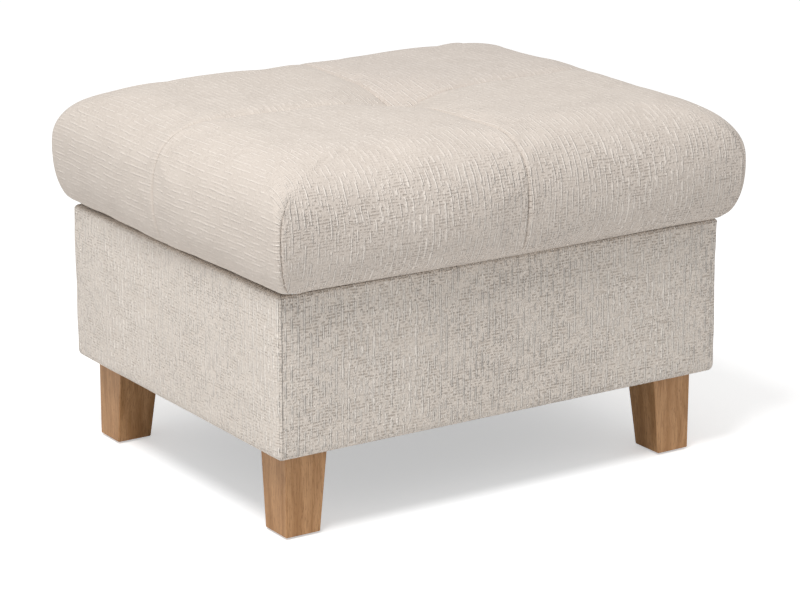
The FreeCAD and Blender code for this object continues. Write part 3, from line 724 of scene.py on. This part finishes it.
def needled_felt():
    finish = Finish("needled felt", specular_ior_level=0.2)
    place = finish.place()
    combed = finish.scaled(place, (1.0, 1.6, 1.0))
    hairs = finish.cloud(combed, 420.0, detail=5.0, roughness=0.7, distortion=2.0)
    flecks = finish.cloud(place, 210.0, detail=1.0)
    colour = finish.blend(finish.spread(hairs, 0.3, 0.7), paint(92, 90, 88), paint(148, 146, 142))
    colour = finish.blend(finish.spread(flecks, 0.66, 0.70) * 0.7, colour, paint(96, 110, 142))
    return finish.done(colour, 0.9 + 0.05 * hairs, hairs, relief=0.0008)


foam_low, foam_high = (np.array(corner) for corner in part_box("seat_foam"))
foam_block = soft_block("foam_block", foam_low, foam_high, foam_rounding, spring_arch, (64, 54, 16),
                        open_cell_foam())
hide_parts("seat_foam")
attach(foam_block, "root")

felt_rows, felt_columns = 81, 101
felt_thickness = 0.0028
felt_clearance = 0.0001       # between the felt and the springs
felt_low, felt_high = (np.array(corner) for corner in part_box("seat_felt"))
felt_y = np.linspace(felt_low[1], felt_high[1], felt_rows)
felt_x = np.linspace(felt_low[0], felt_high[0], felt_columns)
felt_top = felt_low[2] + felt_thickness + felt_clearance + spring_arch(felt_y)
felt_points = np.array([(x, y, z) for y, z in zip(felt_y, felt_top) for x in felt_x])
felt_numbers = np.arange(len(felt_points)).reshape(felt_rows, felt_columns)
felt_back = felt_points - np.array([0, 0, felt_thickness])
felt_sheet = closed_pad("felt_sheet", felt_points, felt_back, felt_numbers, needled_felt())
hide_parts("seat_felt")
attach(felt_sheet, "root")


# Tuft twine and toggle
# Waxed three-strand twine holds the middle of the cover down. It runs straight through the filling and is
# knotted under a moulded toggle that bears on the felt from below.

def waxed_twine():
    finish = Finish("waxed twine")
    place = finish.place()
    hairs = finish.cloud(place, 1400.0, detail=3.0)
    tone = finish.cloud(place, 90.0, detail=2.0)
    colour = finish.blend(finish.spread(hairs, 0.3, 0.7), paint(190, 166, 124), paint(222, 204, 168))
    return finish.done(colour, 0.6 + 0.2 * tone, hairs, relief=0.0002)


twine_radius = 0.0010
knot_radius = 0.0025
ring_step = 0.0006            # between rings of points above the knot
strand_turn = 0.009           # height in which the three strands turn once
twine_low, twine_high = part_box("tuft_twine")
strand_points, ring_steps = [], 18
knot_top = twine_low.z + 2 * knot_radius
twine_heights = np.concatenate([np.linspace(twine_low.z, knot_top, 15),
                                np.arange(knot_top + ring_step, twine_high.z, ring_step)])
for z in twine_heights:
    up_knot = (z - twine_low.z) / knot_radius - 1
    knot = knot_radius * math.sqrt(max(0.0, 1 - up_knot * up_knot)) if up_knot < 1 else 0.0
    turned = (z - twine_low.z) * 2 * math.pi / strand_turn
    for i in range(ring_steps):
        angle = 2 * math.pi * i / ring_steps
        lobed = twine_radius * (0.82 + 0.18 * math.cos(3 * (angle - turned)))
        radius = max(knot * (0.93 + 0.07 * math.cos(3 * angle + 900 * z)), lobed if up_knot > 0.6 else 0.0002)
        strand_points.append((radius * math.cos(angle), radius * math.sin(angle), z))
ring_numbers = np.arange(len(strand_points)).reshape(-1, ring_steps)
twine_faces = grid_faces(np.hstack([ring_numbers, ring_numbers[:, :1]]))
twine_faces += [tuple(int(v) for v in ring_numbers[0, ::-1]), tuple(int(v) for v in ring_numbers[-1])]
twine = piece_of("twine_strand", strand_points, twine_faces, waxed_twine())
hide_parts("tuft_twine")
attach(twine, "root")
dress(moulded_plastic("toggle plastic", paint(226, 224, 218), paint(238, 237, 232), 0.35), "tuft_toggle")


# Seat cover and the wadding under it
# Four chenille quarters sewn together in a cross and pulled down where the seams meet. Each has a sewn
# dart at its corner, beside the upright edge, and is drawn over a thick layer of wadding and stapled below.

seat_half_x = 0.343
seat_half_y = 0.280
seat_floor = 0.304
bulge_height = 0.380
wall_top = 0.4575             # height that the rolled sides would reach without the crowned top
top_roll = 0.094
roll_inward_power = 0.82
roll_upward_power = 0.79
under_tuck = 0.031
tuck_power = 2.45
side_bow = 0.005
corner_radius = 0.014
sewn_corner_radius = 0.008    # below the top of the dart, which squares the corner up
corner_opening = 0.70
seam_height = 0.4538
pillow_rise = 0.0027
pillow_reach = 0.030
tuft_depth = 0.019
tuft_reach = 0.046
seam_shift_x = 0.004          # the cross seam runs this far right of the middle, the long one behind it
seam_shift_y = 0.003
seat_cloth = 0.0016
frame_half_x = 0.3055         # of the rails, with the fit that the wadding needs
frame_half_y = 0.2425
seat_turn_under = 0.034
dart_angle = 19.0             # of the dart round the corner, from the long side's end
dart_top = 0.425              # height at which the dart begins
cloth_steps = 20              # of the simulation that fills the cover
swell_cap = 0.0045            # the furthest that the filling may push the cloth
top_steps, tuck_steps = 18, 10   # levels round the roll, and from the fullest height down to the edge
turned_levels = (0.002, 0.006, 0.012, 0.020, seat_turn_under)
edge_lift = 0.0006            # the lower edge lies this far above the box,
turned_lift = 0.0002          # and the cloth that is turned in under the rails this far
sewn_start = 0.005            # the corner begins to square up this far above the dart
sewn_run = 0.045              # and has done so this far below there
crown_base = 0.40             # below this height the crown of the top isn't felt
crown_softness = 0.0022       # how softly the sides turn into the top
filling_share = 0.8           # how much of the settled shape is kept away from the corners
stiff_reach = 0.110           # the sewn corners keep their own shape about this far
start_inside = 0.0012         # the cloth starts this far inside its final shape
# Painted light: the weave's painted contrast, with its relief, is set face by face after how the light falls:
# boldest on the front and back, softer on the ends and top.
seat_bold_face = 1.15         # how boldly the weave stands out on the seat's front and back
seat_bold_end = 0.28          # on its ends
seat_bold_crown = 0.45        # on its top
seat_bold_top = 0.448         # height above which it counts as top
seat_bold_fade = 0.04         # height below there in which it comes to full boldness
corner_bold_fade = 0.012      # width over which it changes at a corner
dart_lay_run = 0.035          # below the dart's top the weave turns to run with the dart in this height
end_half = 0.2                # about half the length of an end

straight_shares = (0.0, 0.006, 0.016, 0.032, 0.056, 0.088, 0.124, 0.162, 0.200, 0.238, 0.276, 0.314, 0.352,
                   0.390, 0.428, 0.466, 0.504, 0.542, 0.580, 0.618, 0.656, 0.694, 0.732, 0.768, 0.802,
                   0.834, 0.864, 0.892, 0.918, 0.938, 0.952, 0.960, 0.967, 0.973, 0.979,
                   0.985, 0.991)
end_shares = (0.0, 0.008, 0.021, 0.042, 0.074, 0.116, 0.162, 0.210, 0.258, 0.306, 0.354, 0.402, 0.450,
              0.498, 0.546, 0.594, 0.642, 0.690, 0.736, 0.780, 0.822, 0.862, 0.900, 0.936, 0.970)
long_angles = (0.0, 7.0, 13.0, 16.5, 19.0, 21.5, 25.0, 31.0, 38.0, 45.0)
end_angles = (90.0, 80.0, 70.0, 61.0, 53.0, 45.0)
long_columns = [("run", s) for s in straight_shares] + [("turn", a) for a in long_angles]
end_columns = [("run", s) for s in end_shares] + [("turn", a) for a in end_angles]
dart_column = len(straight_shares) + long_angles.index(dart_angle)


def seat_levels():
    """From the edge of the flat top down over the roll, under the edge and in over the rails.

    Each level is (how far its outline is drawn in, its height).
    """
    levels = []
    for i in range(top_steps + 1):
        angle = math.radians(90 - 90 * i / top_steps)
        rise = math.sin(angle) ** roll_upward_power
        drawn_in = top_roll * (1 - max(0.0, math.cos(angle)) ** roll_inward_power)
        levels.append((drawn_in, bulge_height + (wall_top - bulge_height) * rise))
    for i in range(1, tuck_steps + 1):
        share = 1 - i / tuck_steps
        drawn_in = under_tuck * (1 - (1 - (1 - share) ** tuck_power) ** (1 / tuck_power))
        levels.append((drawn_in, seat_floor + edge_lift + share * (bulge_height - seat_floor - edge_lift)))
    for further in turned_levels:
        levels.append((under_tuck + further, seat_floor + turned_lift))
    return levels


levels = seat_levels()
level_steps = [math.hypot(a[0] - b[0], a[1] - b[1]) for a, b in zip(levels, levels[1:])]
level_run = np.concatenate([[0], np.cumsum(level_steps)])
dart_level = next(i for i, (_, z) in enumerate(levels) if z < dart_top)


def corner_turn(drawn_in, height):
    """Plan radius of the seat's corner on a level."""
    sewn = min(1.0, max(0.0, (dart_top + sewn_start - height) / sewn_run))
    loose_radius = corner_radius + corner_opening * drawn_in
    return loose_radius + (sewn_corner_radius + 0.3 * drawn_in - loose_radius) * sewn * sewn * (3 - 2 * sewn)


def column_point(side, kind, value, drawn_in, height):
    """Where a column meets a level in the back right quarter, with the corner's centre and radius there."""
    half_x = seat_half_x - drawn_in
    half_y = seat_half_y - drawn_in
    radius = corner_turn(drawn_in, height)
    centre_x = half_x - side_bow - radius
    centre_y = half_y - side_bow - radius
    if kind == "turn":
        angle = math.radians(value)
        x = centre_x + radius * math.sin(angle)
        return x, centre_y + radius * math.cos(angle), centre_x, centre_y, radius
    bow = side_bow * (2 * value ** 2 - value ** 4)
    if side == "long":
        return centre_x * value, half_y - bow, centre_x, centre_y, radius
    return half_x - bow, centre_y * value, centre_x, centre_y, radius


def column_lay(side, kind, value, place, run, height, part):
    """Where the point lies on the unrolled cloth, whose warp runs from front to back all over the seat."""
    x, y, centre_x, centre_y, radius = place
    edge_x = seat_half_x - top_roll
    edge_y = seat_half_y - top_roll
    if kind == "run":
        return (x, edge_y + run) if side == "long" else (edge_x + run, y)
    angle = math.radians(value)
    fan = (centre_x + (edge_x + run - centre_x) * math.sin(angle),
           centre_y + (edge_y + run - centre_y) * math.cos(angle))
    if part == "long":
        sewn = (centre_x + radius * angle, edge_y + run)
    else:
        sewn = (edge_x + run, centre_y + radius * (math.pi / 2 - angle))
    share = min(1.0, max(0.0, (dart_top - height) / dart_lay_run))
    share = share * share * (3 - 2 * share)
    return tuple(f + (s - f) * share for f, s in zip(fan, sewn))


def crowned(x, y, wall):
    """Height of the seat at x, y, where the rolled sides alone would give the height of the wall."""
    swell = pillow_rise * (1 - np.exp(-np.abs(x) / pillow_reach)) * (1 - np.exp(-np.abs(y) / pillow_reach))
    pull = tuft_depth * np.exp(-(np.hypot(x, y) / tuft_reach) ** 1.35)
    top = seam_height + swell - pull
    return seam_height - crown_softness * np.log(np.exp(-(wall - seam_height) / crown_softness)
                                                 + np.exp(-(top - seam_height) / crown_softness))


class Quarter:
    """Vertex tables of one seat quarter, drawn for the back right and mirrored by two signs."""

    def __init__(self, sign_x, sign_y):
        self.points, self.lay, self.key, self.drawn = [], [], [], []
        self.rings = {}
        self.add_sides()
        faces = grid_faces(self.add_top()) + self.side_faces()
        if sign_x * sign_y < 0:
            faces = [tuple(reversed(face)) for face in faces]
        self.faces = faces
        flip = np.array([sign_x, sign_y, 1.0])
        self.points = np.array(self.points) * flip
        self.lay = np.array(self.lay) * flip
        self.drawn = np.array(self.drawn)

    def add_sides(self):
        """Both sides, level by level. Below the dart's top its column has each point twice."""
        for k, (drawn_in, z) in enumerate(levels):
            for side, columns in (("long", long_columns), ("end", end_columns)):
                for c, (kind, value) in enumerate(columns):
                    key = (k, side, c)
                    if side == "end" and c == len(end_columns) - 1:
                        self.rings[key] = self.rings[k, "long", len(long_columns) - 1]
                        continue
                    place = column_point(side, kind, value, drawn_in, z)
                    x, y = place[:2]
                    height = float(crowned(x, y, z)) if z > crown_base else z
                    column = (side, kind, value, place, level_run[k], z)
                    beyond = side == "end" or c > dart_column
                    lay = column_lay(*column, "end" if beyond and k >= dart_level else "long")
                    self.rings[key] = self.add(x, y, height, lay, key)
                    if side == "long" and c == dart_column and k > dart_level:
                        self.rings[k, "twin", c] = self.add(x, y, height, column_lay(*column, "end"), key)

    def add_top(self):
        """The top between the upper edges of the two sides and the two seams, as a table of point numbers."""
        long_count, end_count = len(long_columns), len(end_columns)
        edge_long = [self.points[self.rings[0, "long", c]] for c in range(long_count)]
        edge_end = [self.points[self.rings[0, "end", c]] for c in range(end_count)]
        x_end, y_end = edge_end[0][0], edge_long[0][1]
        far = edge_long[-1]
        long_parts, end_parts = self.shares(edge_long), self.shares(edge_end)
        top = np.zeros((end_count, long_count), int)
        for j, b in enumerate(end_parts):
            for i, a in enumerate(long_parts):
                if j == end_count - 1:
                    top[j, i] = self.rings[0, "long", i]
                elif i == long_count - 1:
                    top[j, i] = self.rings[0, "end", j]
                else:
                    x = ((1 - b) * x_end * a + b * edge_long[i][0] + a * edge_end[j][0]
                         - a * (1 - b) * x_end - a * b * far[0])
                    y = (b * edge_long[i][1] + (1 - a) * y_end * b + a * edge_end[j][1]
                         - (1 - a) * b * y_end - a * b * far[1])
                    top[j, i] = self.add(x, y, float(crowned(x, y, wall_top)), (x, y), ("top", j, i))
        return top

    def side_faces(self):
        """Faces of both sides, with the dart between them as an open cut."""
        faces = []
        for k in range(len(levels) - 1):
            for c in range(len(long_columns) - 1):
                spots = ((k, c), (k, c + 1), (k + 1, c + 1), (k + 1, c))
                faces.append(tuple(self.long_number(*spot, c >= dart_column) for spot in spots))
            for c in range(len(end_columns) - 1):
                spots = ((k, c + 1), (k, c), (k + 1, c), (k + 1, c + 1))
                faces.append(tuple(self.rings[level, "end", column] for level, column in spots))
        return faces

    def long_number(self, level, column, beyond_dart):
        """A point of the long side. Beyond the dart the cut edge has the second of its two points."""
        twin = (level, "twin", column)
        return self.rings[twin if beyond_dart and twin in self.rings else (level, "long", column)]

    @staticmethod
    def shares(edge):
        steps = [math.dist(a[:2], b[:2]) for a, b in zip(edge, edge[1:])]
        return np.concatenate([[0], np.cumsum(steps)]) / sum(steps)

    @staticmethod
    def boldness(x, y, z):
        """The weave stands out boldly on the front and back and softer on the top and ends: painted light in
        its colour, after how the light falls on each face.
        """
        down = min(1.0, max(0.0, (seat_bold_top - z) / seat_bold_fade))
        past_corner = (x - seat_half_x) - (y - seat_half_y)
        end_share = min(1.0, max(0.0, past_corner / corner_bold_fade + 0.5))
        side_bold = seat_bold_face + (seat_bold_end - seat_bold_face) * end_share
        return seat_bold_crown + (side_bold - seat_bold_crown) * down

    def add(self, x, y, z, spot, key):
        self.points.append((x, y, z))
        self.drawn.append(top_roll if key[0] == "top" else levels[key[0]][0])
        self.lay.append((spot[0], spot[1], self.boldness(x, y, z)))
        self.key.append(key)
        return len(self.points) - 1


quarters = {corner: Quarter(1 if "right" in corner else -1, 1 if "back" in corner else -1)
            for corner in corners}
loose = np.concatenate([quarters[corner].points for corner in corners])
_, first_seen, joined = np.unique(np.round(loose, 7), axis=0, return_index=True, return_inverse=True)
joined = joined.ravel()
cover_points = loose[first_seen]
cover_faces, offset = [], 0
for corner in corners:
    for face in quarters[corner].faces:
        found = tuple(int(joined[offset + v]) for v in face)
        if len(set(found)) == 4:
            cover_faces.append(found)
    offset += len(quarters[corner].points)
cover_ways = outward(cover_points, cover_faces)
if np.sum(cover_ways[:, 2] * (cover_points[:, 2] > 0.45)) < 0:
    cover_ways = -cover_ways
    cover_faces = [tuple(reversed(face)) for face in cover_faces]
from_seam = np.minimum(np.abs(cover_points[:, 0]), np.abs(cover_points[:, 1]))
seam_hold = 0.0004            # the cloth is held this near to a seam,
stapled_edge = 0.004          # and up to this far above the box
free_reach = 0.02             # this far from a seam and from the box it can move as it likes
held = (from_seam < seam_hold) | (cover_points[:, 2] < seat_floor + stapled_edge)
free_share = (np.clip(from_seam / free_reach, 0, 1)
              * np.clip((cover_points[:, 2] - seat_floor) / free_reach, 0, 1))


def filled(points):
    """The cover blown out against its sewn seams by the filling, as a cloth simulation settles it."""
    start = points - cover_ways * (start_inside * free_share)[:, None]
    mesh = bpy.data.meshes.new("settling cover")
    mesh.from_pydata([tuple(p) for p in start], [], cover_faces)
    cover = bpy.data.objects.new("settling cover", mesh)
    scene = bpy.context.scene
    scene.collection.objects.link(cover)
    group = cover.vertex_groups.new(name="sewn")
    group.add([int(v) for v in np.flatnonzero(held)], 1.0, "REPLACE")
    cloth = cover.modifiers.new("Cloth", "CLOTH")
    fabric = cloth.settings
    fabric.quality = 6
    fabric.mass = 0.4
    fabric.tension_stiffness = 18
    fabric.compression_stiffness = 12
    fabric.shear_stiffness = 6
    fabric.bending_stiffness = 1.2
    fabric.shrink_min = -0.004
    fabric.use_pressure = True
    fabric.uniform_pressure_force = 2.0
    fabric.vertex_group_mass = "sewn"
    fabric.effector_weights.gravity = 0.0
    cloth.collision_settings.use_self_collision = False
    cloth.collision_settings.use_collision = False
    cloth.point_cache.frame_start = 1
    cloth.point_cache.frame_end = cloth_steps
    for step in range(1, cloth_steps + 1):
        scene.frame_set(step)
    graph = bpy.context.evaluated_depsgraph_get()
    settled = cover.evaluated_get(graph).to_mesh()
    found = np.zeros(len(settled.vertices) * 3)
    settled.vertices.foreach_get("co", found)
    found = found.reshape(-1, 3)
    cover.evaluated_get(graph).to_mesh_clear()
    scene.frame_set(1)
    bpy.data.objects.remove(cover)
    bpy.data.meshes.remove(mesh)
    move = found - start
    reach = np.linalg.norm(move, axis=1)
    settled_at = start + move * np.minimum(1, swell_cap / np.maximum(reach, 1e-9))[:, None]
    from_corner = np.hypot(seat_half_x - np.abs(points[:, 0]), seat_half_y - np.abs(points[:, 1]))
    share = filling_share * (1 - np.exp(-(from_corner / stiff_reach) ** 2))
    return points + (settled_at - points) * share[:, None]


soft_points = filled(cover_points)

# The seams are drawn in after the filling has settled: a valley along each, small gathers across it
seam_valley = 0.0027
seam_width = 0.0021
wide_valley = 0.0004          # depth of the wide valley round the narrow one
wide_width = 0.022
tuft_valley = 0.0034          # how much deeper the wide valley gets towards the tuft,
tuft_valley_reach = 0.12      # and over what distance
valley_end = 0.012            # height above the box in which the valleys run out
gather_spacing = 0.030
cover_waves = ((0.0005, 0.12, 22), (0.0002, 0.04, 23))   # height, spacing and seed of the unevenness
shift_reach = 0.08            # how far beside a seam the cloth goes along with its shift
from_tuft = np.hypot(cover_points[:, 0], cover_points[:, 1])
near_tuft = np.exp(-(from_tuft / tuft_valley_reach) ** 2)
above_floor = np.clip((cover_points[:, 2] - seat_floor) / valley_end, 0, 1)
gathers = 0.5 + 0.5 * drift(cover_points, gather_spacing, 21)
narrow = seam_valley * np.exp(-from_seam / seam_width)
wide = np.exp(-(from_seam / wide_width) ** 1.5) * (0.9 + 0.2 * gathers)
inward = (narrow + (wide_valley + tuft_valley * near_tuft) * wide) * above_floor
for height, spacing, seed in cover_waves:
    inward -= height * drift(cover_points, spacing, seed) * free_share
soft_points = soft_points - cover_ways * inward[:, None]
soft_points[:, 0] += seam_shift_x * np.exp(-(cover_points[:, 0] / shift_reach) ** 2)
soft_points[:, 1] += seam_shift_y * np.exp(-(cover_points[:, 1] / shift_reach) ** 2)

dart_depth = 0.0029           # of the furrow along the sewn corner
dart_spread = 0.0019
dart_above = 0.004            # the furrow begins this far above the dart,
dart_fade = 0.03              # and is at its deepest this far below there
pleat_depth = 0.0009          # of the small upright pleats beside it
pleat_pitch = 0.0044
pleat_reach = 0.007
ear_drop = 0.0040             # the cover hangs lowest beside the corner
ear_width = 0.012
edge_droop = 0.0030           # and a little all round its lower edge
edge_reach = 0.03             # height above the box over which the ears and the waves fade
droop_at = 0.020              # where it is drawn in this far it droops most
droop_width = 0.006
box_edge = 0.0275             # where it is drawn in further it lies on the box
low_edge = 0.36               # only below this height
edge_waves = ((0.0009, 0.045, 31), (0.0006, 0.018, 32))   # height, spacing and seed of its unevenness
under_seat_cloth = 0.0004     # between the cloth and its wadding
over_foam = 0.0004            # between the wadding and the foam
thinnest_wadding = 0.0006
pad_stop = 0.0021             # the wadding stops this far above the box


def past_dart(key):
    """How far round the corner a point of a quarter lies from its dart; on the top, far away."""
    if key[0] == "top":
        return 1.0
    level, side, column = key
    drawn_in, height = levels[level]
    radius = corner_turn(drawn_in, height)
    kind, value = (long_columns if side == "long" else end_columns)[column]
    if kind == "turn":
        return math.radians(value - dart_angle) * radius
    if side == "long":
        return (value - 1) * (seat_half_x - drawn_in - side_bow - radius) - math.radians(dart_angle) * radius
    return math.radians(90 - dart_angle) * radius + (1 - value) * end_half


seat_fabric = chenille("seat chenille", paint(243, 233, 223), paint(182, 170, 159))
# Painted shade: the back right quarter, sewn with its pile turned, gets a darker copy of the same chenille
# for the shade that its turned pile shows.
turned_nap_shaded_fabric = chenille("seat chenille, nap turned", paint(240, 230, 221), paint(180, 168, 157))
offset = 0
for corner in corners:
    quarter = quarters[corner]
    count = len(quarter.points)
    mine = joined[offset:offset + count]
    offset += count
    points = soft_points[mine]
    ways = cover_ways[mine]
    from_dart = np.array([past_dart(key) for key in quarter.key])
    heights = points[:, 2]
    down_dart = np.clip((dart_top + dart_above - heights) / dart_fade, 0, 1) * (heights > seat_floor + 0.001)
    furrow = dart_depth * np.exp(-np.abs(from_dart) / dart_spread)
    beside = np.exp(-np.abs(from_dart + pleat_reach) / pleat_reach)
    pleats = pleat_depth * np.sin(from_dart / pleat_pitch * 2 * math.pi + 1.0) * beside
    points = points - ways * ((furrow + pleats) * down_dart)[:, None]
    low_share = np.clip(1 - (heights - seat_floor) / edge_reach, 0, 1)
    ear = ear_drop * np.exp(-((from_dart + pleat_reach) / ear_width) ** 2) * low_share
    droop = edge_droop * np.exp(-((quarter.drawn - droop_at) / droop_width) ** 2)
    edge_wave = sum(height * drift(points, spacing, seed) for height, spacing, seed in edge_waves) * low_share
    points[:, 2] -= (ear + droop + edge_wave) * (quarter.drawn < box_edge) * (heights < low_edge)
    # painted shade on the back right quarter
    fabric = turned_nap_shaded_fabric if corner == "back_right" else seat_fabric
    cover = piece_of(f"seat_quarter_{corner}", points, quarter.faces, fabric, quarter.lay)
    smooth = cover.modifiers.new("Subdivision", "SUBSURF")
    smooth.levels = smooth.render_levels = 1
    thick = cover.modifiers.new("Solidify", "SOLIDIFY")
    thick.thickness = seat_cloth
    thick.offset = -1.0
    apply_all(cover)
    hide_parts(f"seat_cover_{corner}")
    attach(cover, "root")

    # wadding: its outside lies under the cloth, its inside on the foam and the rails
    outer = points - ways * (seat_cloth + under_seat_cloth)
    beside_foam = points[:, 2] > foam_low[2]
    core_x = np.where(beside_foam, foam_high[0], frame_half_x) - foam_rounding
    core_y = np.where(beside_foam, foam_high[1], frame_half_y) - foam_rounding
    core = np.stack([np.clip(outer[:, 0], -core_x, core_x), np.clip(outer[:, 1], -core_y, core_y),
                     np.minimum(outer[:, 2], foam_high[2] - foam_rounding)], axis=1)
    away = outer - core
    reach = np.maximum(np.linalg.norm(away, axis=1), 1e-9)
    depth = np.minimum(foam_rounding + over_foam, reach - thinnest_wadding)
    inner = core + away * (depth / reach)[:, None]
    pad_faces = [face for face in quarter.faces if points[list(face), 2].min() > seat_floor + pad_stop]
    used = sorted({v for face in pad_faces for v in face})
    renumber = {v: i for i, v in enumerate(used)}
    shell = [tuple(renumber[v] for v in face) for face in pad_faces]
    edges = dict.fromkeys((a, b) for face in shell for a, b in zip(face, face[1:] + face[:1]))
    rim = [(b, a, a + len(used), b + len(used)) for a, b in edges if (b, a) not in edges]
    back = [tuple(len(used) + v for v in reversed(face)) for face in shell]
    pad = piece_of(f"seat_wadding_pad_{corner}", np.concatenate([outer[used], inner[used]]),
                   shell + back + rim, fibre)
    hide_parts(f"seat_wadding_{corner}")
    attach(pad, "root")


# Room
# A pale floor under a white surround, and one large soft lamp high on the left and in front. The floor
# shows white to the camera and keeps the stool's shadow.

floor_half = 6.0
floor_glow = 0.46             # only the camera sees it, so that the pale floor turns white
surround_light = 0.54         # strength of the surround on the stool; seen directly it is white


def room_plane(name, half):
    points = [(-half, -half, 0.0), (half, -half, 0.0), (half, half, 0.0), (-half, half, 0.0)]
    return piece_of(name, points, [(0, 1, 2, 3)], pale_floor())


def pale_floor():
    finish = Finish("pale floor", specular_ior_level=0.1)
    place = finish.place()
    mottle = finish.cloud(place, 3.0, detail=3.0)
    colour = finish.blend(mottle, paint(240, 240, 240), paint(246, 246, 246))
    seen = finish.node("ShaderNodeLightPath", out="Is Camera Ray")
    lift = finish.blend(seen, (0.0, 0.0, 0.0, 1.0), (floor_glow, floor_glow, floor_glow, 1.0))
    finish.tree.links.new(lift.socket, finish.shader.inputs["Emission Color"])
    finish.shader.inputs["Emission Strength"].default_value = 1.0
    return finish.done(colour, 0.85 + 0.05 * mottle)


room_plane("floor", floor_half)

world = bpy.data.worlds.new("white surround")
bpy.context.scene.world = world
world.use_nodes = True
surround = world.node_tree
background = surround.nodes["Background"]
light_path = surround.nodes.new("ShaderNodeLightPath")
either = surround.nodes.new("ShaderNodeMath")
either.operation = "MAXIMUM"
surround.links.new(light_path.outputs["Is Camera Ray"], either.inputs[0])
surround.links.new(light_path.outputs["Is Glossy Ray"], either.inputs[1])
strength = surround.nodes.new("ShaderNodeMapRange")
strength.inputs["To Min"].default_value = surround_light
strength.inputs["To Max"].default_value = 1.0
surround.links.new(either.outputs[0], strength.inputs["Value"])
surround.links.new(strength.outputs["Result"], background.inputs["Strength"])
background.inputs["Color"].default_value = (1.0, 1.0, 1.0, 1.0)

lamp = bpy.data.lights.new("soft lamp", "AREA")
lamp.shape = "DISK"
lamp.size = 1.0
lamp.energy = 58.0
lamp_distance = 3.2
lamp_way = Vector((-0.45, -0.30, 0.87)).normalized()
stool_middle = Vector((0.0, 0.0, 0.25))
lamp_holder = bpy.data.objects.new("soft lamp", lamp)
lamp_holder.location = stool_middle + lamp_way * lamp_distance
lamp_holder.rotation_euler = (-lamp_way).to_track_quat("-Z", "Y").to_euler()
bpy.context.scene.collection.objects.link(lamp_holder)

camera_place = Vector((-2.00934, -3.04288, 1.26359))
camera_turn = math.radians(-33.54)
camera_tilt = math.radians(16.46)
camera_roll = math.radians(0.151)
ahead = Vector((-math.sin(camera_turn) * math.cos(camera_tilt), math.cos(camera_turn) * math.cos(camera_tilt),
                -math.sin(camera_tilt)))
level_right = Vector((math.cos(camera_turn), math.sin(camera_turn), 0.0))
level_up = level_right.cross(ahead)
to_right = math.cos(camera_roll) * level_right + math.sin(camera_roll) * level_up
to_top = math.cos(camera_roll) * level_up - math.sin(camera_roll) * level_right
lens = bpy.data.cameras.new("camera")
lens.sensor_width = 36.0
lens.lens = 135.945
camera = bpy.data.objects.new("camera", lens)
axes = Matrix((to_right, to_top, -ahead)).transposed().to_4x4()
camera.matrix_world = Matrix.Translation(camera_place) @ axes
bpy.context.scene.collection.objects.link(camera)
bpy.context.scene.camera = camera
bpy.context.scene.view_settings.view_transform = "Standard"
